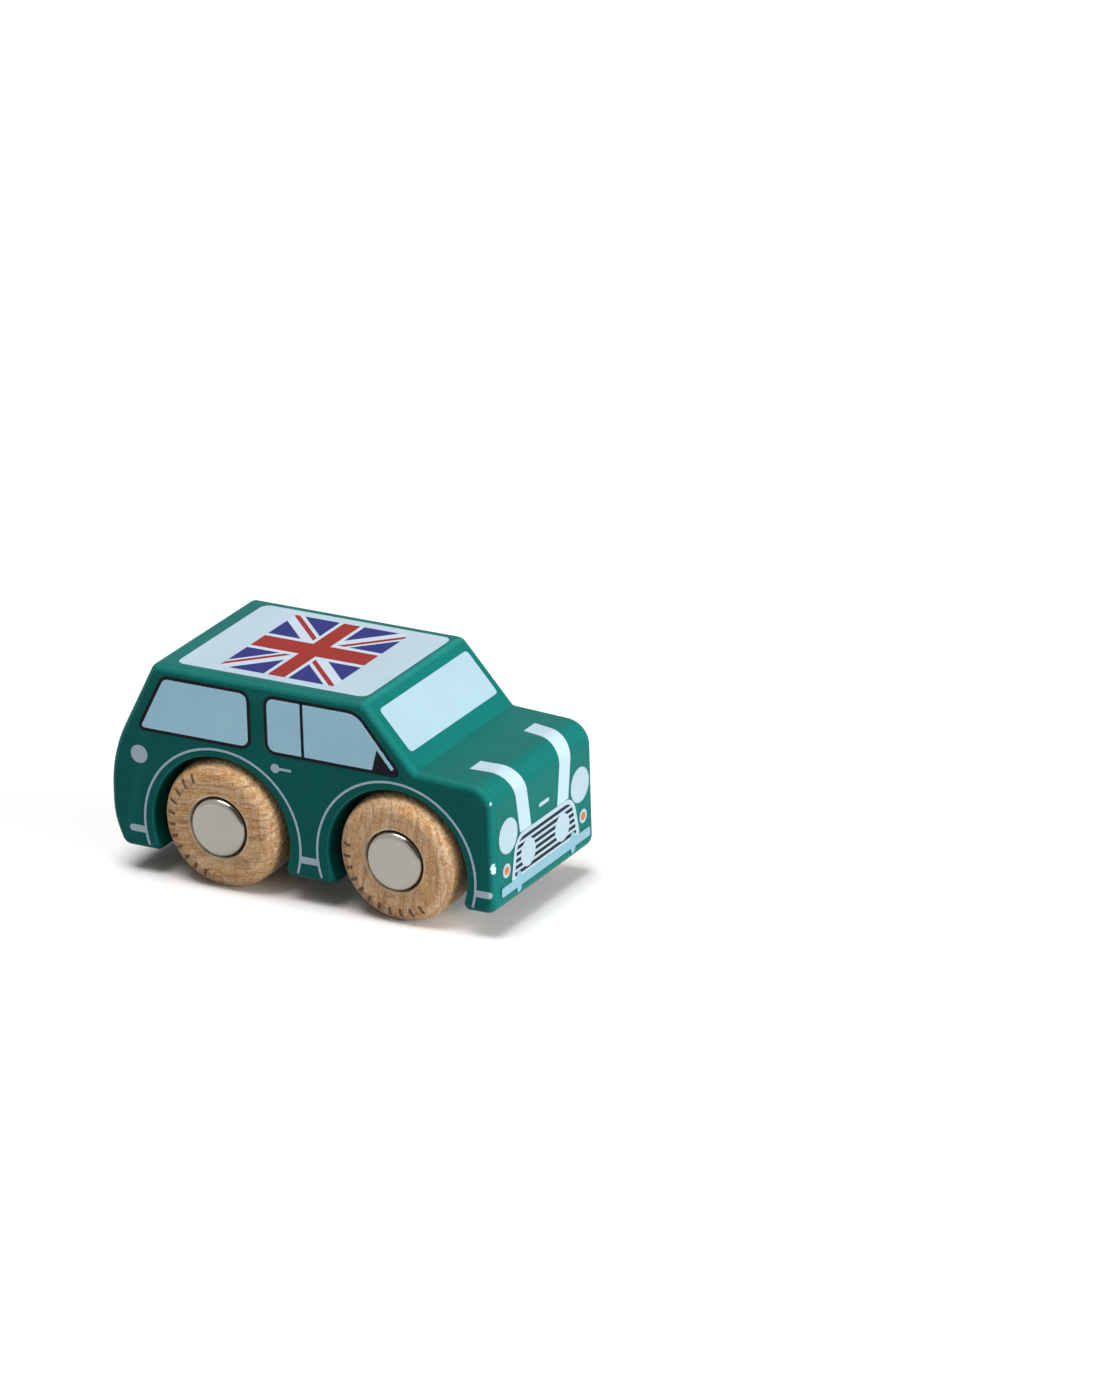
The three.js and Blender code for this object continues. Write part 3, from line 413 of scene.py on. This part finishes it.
def side_skin(x, z):
    """Half width of the block at a place in side view: full, but on a quarter circle near the outline.

    The depth into that round is the distance to the outline, measured to its finely divided sides.
    """
    path = OUTLINE.reshape(-1, 2)
    start, stop = path, np.roll(path, -1, 0)
    run = stop - start
    place = np.stack([x, z], -1)[..., None, :]
    share = np.clip(((place - start) * run).sum(-1) / (run**2).sum(-1).clip(TINY), 0, 1)
    depth = np.linalg.norm(place - start - share[..., None] * run, axis=-1).min(-1)
    depth = np.minimum(depth, EDGE_ROUND)
    return HALF_WIDTH - EDGE_ROUND + np.sqrt(EDGE_ROUND**2 - (EDGE_ROUND - depth) ** 2)


def side_film(low, high, side, top=FILM_TOP):
    """Rings of a film on a side: two edges in side view, carried through the skin from root to top."""
    rings = []
    for edge, levels in ((low, (FILM_ROOT, top)), (high, (top, FILM_ROOT))):
        skin = side_skin(edge[:, 0], edge[:, 1])
        rings += [xyz(edge[:, 0], side * (skin + level), edge[:, 1]) for level in levels]
    return np.stack(rings, 1)


def round_ended(start, stop, round_start, round_stop, radius, steps):
    """Stations along a bar, closer towards its ends, and its half thickness at each.

    Within a radius of a round end the half thickness follows a quarter circle.
    """
    run = (1 - np.cos(np.linspace(0, np.pi, steps + 1))) / 2
    place = start + (stop - start) * run
    depth = np.full_like(place, radius)
    if round_start:
        depth = np.minimum(depth, np.abs(place - start))
    if round_stop:
        depth = np.minimum(depth, np.abs(place - stop))
    return place, np.sqrt(np.clip(radius**2 - (radius - depth) ** 2, 0, None))


def arch_line(x, radius):
    """Arc round an arch in side view, which runs on below its middle at both ends."""
    angle = np.linspace(-TRIM_END, np.pi + TRIM_END, TRIM_STEPS + 1)
    return np.stack([x + radius * np.cos(angle), TRIM_Z + radius * np.sin(angle)], 1)


def side_trim_shell(side):
    """Trim of one side: a line round each arch, bumper ends outside them and a sill bar between them.

    The bars lie a little lower than the lines and run in under them.
    """
    shell = Shell()
    outer = TRIM_RADIUS + TRIM_WIDTH / 2
    for x in TRIM_X.values():
        shell.tube(side_film(arch_line(x, outer - TRIM_WIDTH), arch_line(x, outer), side))
    half = TRIM_BAR_THICKNESS / 2
    inset = math.sqrt(TRIM_RADIUS**2 - (TRIM_BAR_Z - TRIM_Z) ** 2)
    rear, front = TRIM_X["rear"], TRIM_X["front"]
    bars = [
        (rear - inset - TRIM_BAR_LENGTH, rear - inset, True, False),
        (rear + inset, front - inset, False, False),
        (front + inset, front + inset + TRIM_BAR_LENGTH, False, True),
    ]
    for bar in bars:
        x, depth = round_ended(*bar, half, BAR_STEPS)
        low = np.stack([x, TRIM_BAR_Z - depth], 1)
        high = np.stack([x, TRIM_BAR_Z + depth], 1)
        shell.tube(side_film(low, high, side, BAR_TOP))
    return shell


def down_nose(place):
    """How far a place in side view lies along the diagonal that falls from the hood to the front."""
    return place[..., 0] - place[..., 1]


def parabola(start, pull, stop):
    """Values from start to stop along a parabola, drawn towards a third value between them."""
    t = np.linspace(0, 1, SWING_POINTS)
    return (1 - t) ** 2 * start + 2 * t * (1 - t) * pull + t**2 * stop


def stripe_shell(side):
    """Bonnet stripe: a flat strip carried up the front, round the nose and back along the hood.

    Its middle swings outwards along a parabola, measured along the diagonal of the nose.
    """
    nose, nose_normal = OUTLINE[NOSE_CORNER], OUTLINE_NORMAL[NOSE_CORNER]
    up = np.linspace(0, 1, STRIPE_STEPS + 1)[:-1, None]
    foot = np.array([FRONT_X, STRIPE_FOOT])
    start = np.array([STRIPE_START, hood_z(STRIPE_START)])
    path = np.concatenate([foot + (nose[0] - foot) * up, nose, start + (nose[-1] - start) * up[::-1]])
    front = nose_normal[:1].repeat(STRIPE_STEPS, 0)
    hood = nose_normal[-1:].repeat(STRIPE_STEPS, 0)
    normal = np.concatenate([front, nose_normal, hood])
    bend = np.array([STRIPE_BEND, hood_z(STRIPE_BEND)])
    fall = parabola(down_nose(start), down_nose(bend), down_nose(foot))
    swing = np.interp(down_nose(path), fall, parabola(*STRIPE_Y))
    rings = []
    for across, level in FILM_SECTION:
        place = path + level * normal
        rings.append(xyz(place[:, 0], side * (swing + across * STRIPE_WIDTH / 2), place[:, 1]))
    shell = Shell()
    shell.tube(np.stack(rings, 1))
    return shell


def tail_film(shell, z, middle, half):
    """Film on the tail: at each height a strip of that half width, on the outline's rear."""
    rear = OUTLINE[BULGE_CORNER:].reshape(-1, 2)[::-1]
    skin = np.interp(z, rear[:, 1], rear[:, 0])
    rings = []
    for across, level in FILM_SECTION:
        rings.append(xyz(skin - level, middle + across * half, z))
    shell.tube(np.stack(rings, 1))
    return shell


def tail_lamp_shell(side):
    """Tail lamp: a disc, as strips whose half width follows a circle."""
    y, z, radius = TAIL_LAMP
    height, half = round_ended(z - radius, z + radius, True, True, radius, DISC_STEPS)
    return tail_film(Shell(), height, side * y, half)


def rear_bumper_shell():
    """Rear bumper: a bar whose corners are quarter circles."""
    low = TRIM_BAR_Z - TRIM_BAR_THICKNESS / 2
    high = TRIM_BAR_Z + TRIM_BAR_THICKNESS / 2
    height, inset = round_ended(low, high, True, True, REAR_BUMPER_ROUND, DISC_STEPS)
    return tail_film(Shell(), height, 0.0, REAR_BUMPER_HALF - REAR_BUMPER_ROUND + inset)


def plate(shell, outline, coat):
    """Flat coat of ink: an outline in top view, carried from inside the roof up to the coat's top."""
    x, y = outline.T
    shell.tube(np.stack([xyz(x, y, ROOF_Z + level) for level in (FILM_ROOT, coat)]))
    return shell


def panel_shell():
    """Roof panel: a rectangle whose corners are quarter circles."""
    rear, front, half, corner = PANEL
    angle = np.radians(np.arange(0, 360, 90)[:, None] + np.linspace(0, 90, ARC_STEPS + 1))
    x = np.where(CORNERS[:, :1] > 0, front - corner, rear + corner) + corner * np.cos(angle)
    y = CORNERS[:, 1:] * (half - corner) + corner * np.sin(angle)
    return plate(Shell(), np.stack([x.ravel(), y.ravel()], 1), PANEL_COAT)


def flag_field_shell():
    """White ground of the flag: its whole rectangle."""
    middle, length, half = FLAG
    return plate(Shell(), CORNERS * (length, half) + (middle, 0), GROUND_COAT)


def flag_cross_shell():
    """Upright cross: two arms that run to the flag's edges, as one outline."""
    middle, length, half = FLAG
    x, y = CROSS_HALF
    ahead = np.array([(x, -half), (x, -y), (length, -y), (length, y), (x, y), (x, half)])
    return plate(Shell(), np.concatenate([ahead, -ahead]) + (middle, 0), COLOUR_COAT)


def kept(outline, normal, low, high):
    """Part of a convex outline whose distance along a normal lies between two limits.

    A corner inside a limit stays. Where a side crosses the limit, a corner is set at the share of the side at
    which it does, ahead of the corner that ends the side.
    """
    for sign, limit in ((1, low), (-1, -high)):
        depth = sign * outline @ normal - limit
        before, last = np.roll(outline, 1, 0), np.roll(depth, 1)
        crosses = depth * last < 0
        share = last / np.where(crosses, last - depth, 1)
        crossing = before + (outline - before) * share[:, None]
        outline = np.stack([crossing, outline], 1)[np.stack([crosses, depth >= 0], 1)]
    return outline


def quarter_bands(end, side, *bands):
    """Outlines of bands along the diagonal of one quarter of the flag, each between two distances from it.

    A quarter lies between the flag's edges and the cross with its white rim. Its diagonal runs from the
    corner towards the cross, aimed beside the flag's middle.
    """
    middle, length, half = FLAG
    corner = np.array([end * length, side * half])
    inner = np.array([end, side]) * (np.array(CROSS_HALF) + CROSS_EDGE)
    quarter = np.array([inner, (corner[0], inner[1]), corner, (inner[0], corner[1])])
    along = np.array([0, side * SALTIRE_AIM]) - corner
    normal = np.array([-along[1], along[0]]) / np.linalg.norm(along)
    start = corner @ normal + end * side * SALTIRE_SHIFT
    found = [kept(quarter, normal, start + low, start + high) for low, high in bands]
    return [band + (middle, 0) for band in found if len(band) > 2]


def flag_navy_shell():
    """Blue fields of the flag: in each quarter what lies on either side of the white diagonal."""
    shell = Shell()
    bands = ((-BEYOND_FLAG, -SALTIRE_HALF), (SALTIRE_HALF, BEYOND_FLAG))
    for end, side in FLAG_CORNERS:
        for field in quarter_bands(end, side, *bands):
            plate(shell, field, COLOUR_COAT)
    return shell


def flag_diagonal_shell(end, side):
    """Red diagonal of one quarter, set off to one side of the white one."""
    return plate(Shell(), quarter_bands(end, side, SALTIRE_RED)[0], COLOUR_COAT)


class Wire:
    """An output socket of a finish, with the sums that finishes write on it."""

    def __init__(self, finish, socket):
        self.finish, self.socket = finish, socket

    def math(self, operation, *values):
        """A sum of a kind over values or wires, on this wire's finish."""
        return self.finish.node("ShaderNodeMath", {"operation": operation}, dict(enumerate(values)))

    def __add__(self, other):
        return self.math("ADD", self, other)

    def __sub__(self, other):
        return self.math("SUBTRACT", self, other)

    def __rsub__(self, other):
        return self.math("SUBTRACT", other, self)

    def __mul__(self, other):
        return self.math("MULTIPLY", self, other)

    def __truediv__(self, other):
        return self.math("DIVIDE", self, other)

    def __pow__(self, other):
        return self.math("POWER", self, other)

    __radd__, __rmul__ = __add__, __mul__

    def step(self, low, high):
        """0 below low, 1 above high, smooth between, or the other way round where low is the larger."""
        limits = {"Value": self, "From Min": low, "From Max": high}
        return self.finish.node("ShaderNodeMapRange", {"interpolation_type": "SMOOTHSTEP"}, limits)


class Finish:
    """A procedural material or world: its nodes, its shader and the patterns that it reads."""

    def __init__(self, owner, shader="Principled BSDF", **constants):
        self.owner = bpy.data.materials.new(owner) if isinstance(owner, str) else owner
        self.owner.use_nodes = True
        self.tree = self.owner.node_tree
        self.shader = self.tree.nodes[shader]
        self.done(**constants)
        self.place = self.node("ShaderNodeTexCoord", output="Object")

    def feed(self, socket, value):
        """Links a wire to a socket, or sets the socket to a value."""
        if isinstance(value, Wire):
            self.tree.links.new(value.socket, socket)
        else:
            socket.default_value = value

    def node(self, kind, settings=None, inputs=None, output=0):
        """A node of a kind, with its settings and then the values or wires of its sockets."""
        made = self.tree.nodes.new(kind)
        for key, value in (settings or {}).items():
            setattr(made, key, value)
        for key, value in (inputs or {}).items():
            self.feed(made.inputs[key], value)
        return Wire(self, made.outputs[output])

    def noise(self, scale, detail=2.0, roughness=0.5, place=None):
        """Clouds from 0 to 1, so many to the unit of the place that they are read at."""
        inputs = {"Vector": place or self.place, "Scale": scale, "Detail": detail, "Roughness": roughness}
        return self.node("ShaderNodeTexNoise", None, inputs)

    def stretched(self, place, scale):
        """A place with each of its three numbers scaled."""
        return self.node("ShaderNodeVectorMath", {"operation": "MULTIPLY"}, {0: place, 1: scale})

    def attribute(self, name, output):
        """What a surface notes at its points under a name."""
        return self.node("ShaderNodeAttribute", {"attribute_name": name}, None, output)

    def mix(self, share, low, high):
        """Colour between two, by a share."""
        return self.node("ShaderNodeMix", {"data_type": "RGBA"}, {0: share, 6: low, 7: high}, 2)

    def split(self, vector):
        """The three numbers of a vector."""
        made = self.node("ShaderNodeSeparateXYZ", None, {"Vector": vector})
        return [Wire(self, socket) for socket in made.socket.node.outputs]

    def bump(self, height, depth, strength=1.0):
        """Normal of a surface raised by a height from 0 to 1, times a depth in metres."""
        return self.node("ShaderNodeBump", None, {"Height": height, "Distance": depth, "Strength": strength})

    def seen(self):
        """1 where the eye sees this straight on, in a polished surface or through glass, else 0."""
        rays = [
            self.node("ShaderNodeLightPath", None, None, key)
            for key in ("Is Camera Ray", "Is Glossy Ray", "Is Transmission Ray")]
        return rays[0].math("MAXIMUM", rays[0], rays[1].math("MAXIMUM", *rays[1:]))

    def done(self, **values):
        """Sets or wires sockets of the shader, and gives what it belongs to."""
        for key, value in values.items():
            self.feed(self.shader.inputs[key.replace("_", " ")], value)
        return self.owner


def tint(red, green, blue):
    """Colour from the 0 to 255 values that a picture shows, as light."""
    value = np.array([red, green, blue]) / 255
    light = np.where(value <= 0.04045, value / 12.92, ((value + 0.055) / 1.055) ** 2.4)
    return (*light.tolist(), 1.0)


# Where the paint is chipped low on the near upright edge, and where a painted highlight streak lies higher
# up on it: x, y, z and reach in millimetres, and how bare or how bright it is there
CHIPS_AND_GLINT = (
    (48.60, -22.05, 17.8, 0.9, 0.95),
    (48.55, -22.00, 17.0, 1.1, 0.95),
    (48.60, -22.05, 16.2, 0.9, 0.95),
    # The last three are a painted highlight streak in the chip colour, not a chip
    (48.38, -21.97, 33.1, 0.7, 0.45),
    (48.45, -22.00, 32.6, 0.8, 0.65),
    (48.50, -22.00, 32.1, 0.7, 0.45),
)


def green_paint():
    """Satin sprayed paint: clouds, pearl specks, a fine peel, grain that shows through, rounds lighter as
    worn paint and painted highlight, a chipped edge and a painted highlight streak.
    """
    f = Finish("green_paint", IOR=1.5, Specular_IOR_Level=0.08)
    cloud = f.noise(60, 3)
    fleck = f.noise(2600, 2, 0.6)
    grain = f.noise(1, 3, 0.6, f.stretched(f.place, (90, 1400, 1100)))
    peel = f.noise(1500, 2)
    shade = (cloud * 0.5 + fleck * 0.3 + grain * 0.2).step(0.3, 0.7)
    base = f.mix(shade, tint(5, 90, 84), tint(8, 100, 94))
    edge = f.attribute("edge", "Fac")
    pearl = f.noise(5200, 1, 0.5).step(0.58, 0.74)
    base = f.mix(pearl * (0.06 + edge * 0.24), base, tint(87, 178, 173))
    # Rounds made lighter teal: partly worn thin paint, partly a painted highlight along the rounds
    worn_and_highlit = f.mix(edge.step(0.3, 1.0) * 0.25, base, tint(41, 142, 134))
    ragged = f.noise(1100, 3, 0.7)
    # Chips in the paint, and the painted highlight streak above them, both in the same pale colour
    chip_and_glint = 0.0
    for x, y, z, reach, bare in CHIPS_AND_GLINT:
        ends = {0: f.place, 1: (x * MM, y * MM, z * MM)}
        gap = f.node("ShaderNodeVectorMath", {"operation": "DISTANCE"}, ends, 1)
        chip_and_glint = chip_and_glint + (gap / (reach * MM) + ragged * 1.3).step(1.35, 1.15) * bare
    base = f.mix(chip_and_glint.math("MINIMUM", chip_and_glint, 0.95), worn_and_highlit, tint(214, 244, 242))
    rough = 0.42 + fleck * 0.12 + cloud * 0.06 + chip_and_glint * 0.2
    relief = peel * 0.5 + grain * 0.35 - chip_and_glint * 0.6
    return f.done(Base_Color=base, Roughness=rough, Normal=f.bump(relief, 0.00004, 0.5))


# The ring of burnt ticks on a wheel's face: its radii, how far it runs to either side and the step from tick
# to tick, and the radii of the ring painted paler at the counterbore's edge
TICK_RING = (11.0, 13.5)
TICK_SPAN = 1.28
TICK_PITCH = math.radians(13)
LIP_RING = (7.1, 7.9)


def beech():
    """Bare sanded beech: growth rings, lines along the grain, saw marks across it, a pale lip, burnt ticks.

    A growth ring lies at an even distance from the tree's heart, which runs outside the wheel.
    """
    f = Finish("bare_beech", IOR=1.45, Specular_IOR_Level=0.25)
    grain = f.attribute("grain", "Vector")
    along, across, depth = f.split(grain)
    sway = f.noise(1, 3, 0.55, f.stretched(grain, (0.05, 0.12, 0.12)))
    ring = ((across + 34.0) ** 2.0 + (depth + 21.0) ** 2.0) ** 0.5 + sway * 6.0
    band = (ring * 1.9).math("SINE", ring * 1.9) * 0.5 + 0.5
    streak = f.noise(1, 4, 0.65, f.stretched(grain, (0.12, 0.8, 0.8)))
    mottle = f.noise(1, 4, 0.7, f.stretched(grain, (0.7, 1.0, 1.0)))
    fine = f.noise(1, 2, 0.6, f.stretched(grain, (1.6, 3.0, 3.0)))
    line = f.noise(1, 2, 0.5, f.stretched(grain, (0.14, 2.0, 2.0))).step(0.54, 0.64)
    saw = f.noise(1, 2, 0.5, f.stretched(grain, (1.8, 0.16, 1.8))).step(0.56, 0.66)
    fleck = f.noise(1, 2, 0.5, f.stretched(grain, (1.1, 2.4, 2.4))).step(0.56, 0.66)
    blotch = f.noise(0.13, 3, 0.55, grain)
    tone = (band * 0.1 + streak * 0.2 + mottle * 0.35 + fine * 0.35).step(0.36, 0.64)
    base = f.mix(tone, tint(204, 152, 94), tint(248, 222, 182))
    base = f.mix(blotch.step(0.35, 0.7) * 0.4, base, tint(222, 168, 108))
    base = f.mix(band ** 9.0 * (0.25 + streak * 0.7), base, tint(162, 102, 58))
    base = f.mix(line * 0.5, base, tint(166, 106, 58))
    base = f.mix(saw * 0.4, base, tint(172, 112, 64))
    base = f.mix(fleck * 0.5, base, tint(250, 228, 196))
    x, z, y = f.split(f.attribute("ticks", "Vector"))
    radius = (x * x + z * z) ** 0.5
    inner, outer = LIP_RING
    lip = radius.step(inner, inner + 0.2) * radius.step(outer, outer - 0.3)
    lip = lip * y.step(WHEEL_WIDTH - 0.6, WHEEL_WIDTH - 0.3)
    base = f.mix(lip * 0.5, base, tint(252, 234, 204))
    angle = x.math("ARCTAN2", z, x)
    count = angle / TICK_PITCH + 0.5
    near = count.math("FRACT", count) - 0.5
    off = near.math("ABSOLUTE", near) * TICK_PITCH * radius
    scorch = f.noise(900, 3, 0.7)
    inner, outer = TICK_RING
    tick = (off + scorch * 0.25).step(0.6, 0.42)
    tick = tick * radius.step(inner, inner + 0.3) * radius.step(outer, outer - 0.3)
    tick = tick * angle.math("ABSOLUTE", angle).step(TICK_SPAN, TICK_SPAN - 0.03) * y.step(5.0, 6.0)
    base = f.mix(tick * (0.55 + scorch * 0.5), base, tint(72, 40, 22))
    rough = 0.62 - tone * 0.08 + line * 0.1
    relief = streak * 0.5 - line * 0.4 - saw * 0.2 - tick * 0.8
    return f.done(Base_Color=base, Roughness=rough, Normal=f.bump(relief, 0.00005, 0.6))


def cap_metal():
    """Bright plated steel with fine rubbing marks."""
    f = Finish("plated_cap", Metallic=1.0)
    rub = f.noise(1, 3, 0.6, f.stretched(f.place, (900, 900, 5200)))
    haze = f.noise(180, 3)
    base = f.mix(haze, tint(145, 142, 135), tint(155, 153, 145))
    rough = 0.14 + rub * 0.08 + haze * 0.06
    return f.done(Base_Color=base, Roughness=rough, Normal=f.bump(rub, 0.000004, 0.4))


def rod_steel():
    """Plain drawn steel with lines along the rod."""
    f = Finish("drawn_steel", Metallic=1.0)
    line = f.noise(1, 3, 0.6, f.stretched(f.place, (4000, 300, 4000)))
    base = f.mix(line, tint(150, 148, 142), tint(190, 188, 182))
    return f.done(Base_Color=base, Roughness=0.26 + line * 0.2)


def ink(name, color, drift=0.05):
    """Satin printing ink: a fine screen of lighter and darker specks over a slow drift, with a faint peel."""
    f = Finish(name, IOR=1.48, Specular_IOR_Level=0.1)
    speck = f.noise(2400, 2, 0.6)
    slow = f.noise(90, 2)
    shade = (speck * 0.6 + slow * 0.4).step(0.3, 0.7)
    low = tuple(c * (1 - drift) for c in color[:3]) + (1.0,)
    high = tuple(min(c * (1 + drift), 1.0) for c in color[:3]) + (1.0,)
    base = f.mix(shade, low, high)
    peel = f.bump(f.noise(1500, 2), 0.00003, 0.35)
    return f.done(Base_Color=base, Roughness=0.42 + speck * 0.14, Normal=peel)


INKS = {
    "black_print": ink("outline_black", tint(14, 16, 26), 0.12),
    "window_print": ink("window_blue", tint(182, 232, 255)),
    "screen_print": ink("screen_blue", tint(143, 169, 180)),
    "roof_print": ink("roof_white", tint(168, 188, 201)),
    "pale_print": ink("pale_blue_white", tint(157, 178, 187)),
    "silver_print": ink("trim_grey", tint(184, 206, 216)),
    "slate_print": ink("grille_slate", tint(16, 29, 43), 0.1),
    "amber_print": ink("lamp_amber", tint(181, 105, 43)),
    "red_print": ink("flag_red", tint(136, 30, 23)),
    "navy_print": ink("flag_navy", tint(25, 34, 107)),
    "white_print": ink("flag_white", tint(180, 195, 208)),
}
STRIPE_INK = ink("stripe_white", tint(165, 187, 197))
OWN_INKS = {
    "front_bumper": ink("bumper_blue", tint(121, 161, 175)),
    "back_window": INKS["window_print"],
    "bonnet_stripe_left": STRIPE_INK,
    "bonnet_stripe_right": STRIPE_INK,
}
FINISHES = {
    **INKS,
    "green_paint": green_paint(),
    "beech": beech(),
    "cap_steel": cap_metal(),
    "steel": rod_steel(),
}


def finish_of(node, slot):
    """Finish of a node: its own ink where it has one, else what its slot has."""
    return OWN_INKS.get(node, FINISHES[slot])


def printed(name, shell, slot, solid):
    """Piece of ink on the block."""
    piece(name, shell, "chassis", slot, finish_of(solid, slot), solid)


for row in frame["record"]["subparts"]:
    for slot in frame["nodes"][row["node"]].material_slots:
        slot.material = finish_of(row["node"], row["material_slot"])

piece("painted_block", body_shell(), "chassis", "green_paint", FINISHES["green_paint"], "body_block")
for side, sign in SIDES.items():
    printed(f"arch_trim_{side}", side_trim_shell(sign), "silver_print", f"side_trim_{side}")
    printed(f"hood_stripe_{side}", stripe_shell(sign), "pale_print", f"bonnet_stripe_{side}")
    printed(f"rear_lamp_{side}", tail_lamp_shell(sign), "red_print", f"tail_lamp_{side}")
    for end in ENDS:
        name = f"{end}_{side}"
        wheel = wheel_shell(end, sign)
        piece(f"beech_wheel_{name}", wheel, f"{name}_wheel", "beech", FINISHES["beech"], f"wheel_{name}")
        cap = cap_shell(end, sign)
        piece(f"plated_cap_{name}", cap, f"{end}_axle", "cap_steel", FINISHES["cap_steel"], f"hub_cap_{name}")
printed("rear_bumper_bar", rear_bumper_shell(), "silver_print", "rear_bumper")
printed("roof_ground", panel_shell(), "roof_print", "roof_panel")
printed("flag_ground", flag_field_shell(), "white_print", "flag_white")
printed("flag_blue_fields", flag_navy_shell(), "navy_print", "flag_field")
printed("flag_red_cross", flag_cross_shell(), "red_print", "flag_cross")
for number, corner in enumerate(FLAG_CORNERS, 1):
    diagonal = flag_diagonal_shell(*corner)
    printed(f"flag_red_diagonal_{number}", diagonal, "red_print", f"flag_saltire_{number}")

# The studio: half the floor's width in metres, the paper's colour to the eye and as it throws light back, the
# level and colour of the light from all round, and how far the part above the nose is darkened
FLOOR_HALF = 6.0
PAPER_SEEN = (0.985, 0.98, 0.975, 1.0)
PAPER_THROWN = (0.28, 0.28, 0.297, 1.0)
AMBIENT = 0.165
AMBIENT_COLOR = (1.0, 0.9, 0.86, 1.0)
WHITE = (1.0, 1.0, 1.0, 1.0)
DARKENED = 0.85

# The camera: its place in metres, its turn, how far it looks down, its roll, and its lens in pixels of a
# picture of that height
CAMERA_PLACE = (1.057245, -1.757760, 0.864969)
CAMERA_TURN = math.radians(29.778)
CAMERA_DOWN = math.radians(21.869)
CAMERA_ROLL = math.radians(1.7005)
LENS_PIXELS = 10000
PICTURE_HEIGHT = 1375
SENSOR = 36


def floor():
    """A wide plain sheet at the wheels' feet: white paper to the eye that throws little light at the car."""
    mesh = bpy.data.meshes.new("studio_floor")
    corners = FLOOR_HALF * np.pad(CORNERS, ((0, 0), (0, 1)))
    mesh.from_pydata(corners.tolist(), [], [(0, 1, 2, 3)])
    made = bpy.data.objects.new("studio_floor", mesh)
    bpy.context.scene.collection.objects.link(made)
    f = Finish("floor_paper", Roughness=0.9, Specular_IOR_Level=0.0)
    paper = f.mix(f.seen(), PAPER_THROWN, PAPER_SEEN)
    mesh.materials.append(f.done(Base_Color=paper))


def lamp(name, towards, level, spread, mirrored):
    """A far, wide lamp in a direction from the car, at the level that a white sheet facing it shows."""
    light = bpy.data.lights.new(name, "SUN")
    light.energy = math.pi * level
    light.angle = math.radians(spread)
    made = bpy.data.objects.new(name, light)
    bpy.context.scene.collection.objects.link(made)
    made.rotation_euler = Vector(towards).to_track_quat("Z", "Y").to_euler()
    made.visible_glossy = mirrored


def studio():
    """Plain white surroundings, dark above the nose, with a wide lamp ahead of the car and one above it."""
    world = bpy.data.worlds.new("studio")
    bpy.context.scene.world = world
    f = Finish(world, "Background")
    seen = f.seen()
    ahead, _, up = f.split(f.place)
    dark = (up * 0.8 + ahead * 0.6).step(0.5, 0.7)
    color = f.mix(seen, AMBIENT_COLOR, WHITE)
    f.done(Color=color, Strength=AMBIENT + seen * (1 - AMBIENT - dark * DARKENED))
    lamp("nose_lamp", (0.98, 0.03, 0.08), 2.35, 50, False)
    lamp("top_lamp", (-0.08, -0.08, 0.95), 0.86, 38, True)


def camera():
    """Long lens at the picture's place, aimed by its turn, how far it looks down and its roll."""
    lens = bpy.data.cameras.new("picture_camera")
    lens.sensor_width = SENSOR
    lens.lens = LENS_PIXELS / PICTURE_HEIGHT * SENSOR
    lens.clip_start = 0.1
    lens.clip_end = 50
    made = bpy.data.objects.new("picture_camera", lens)
    bpy.context.scene.collection.objects.link(made)
    aim = Matrix.Rotation(CAMERA_TURN, 4, "Z") @ Matrix.Rotation(math.pi / 2 - CAMERA_DOWN, 4, "X")
    made.matrix_world = Matrix.Translation(CAMERA_PLACE) @ aim @ Matrix.Rotation(-CAMERA_ROLL, 4, "Z")
    bpy.context.scene.camera = made


floor()
studio()
camera()
bpy.context.scene.view_settings.view_transform = "Standard"
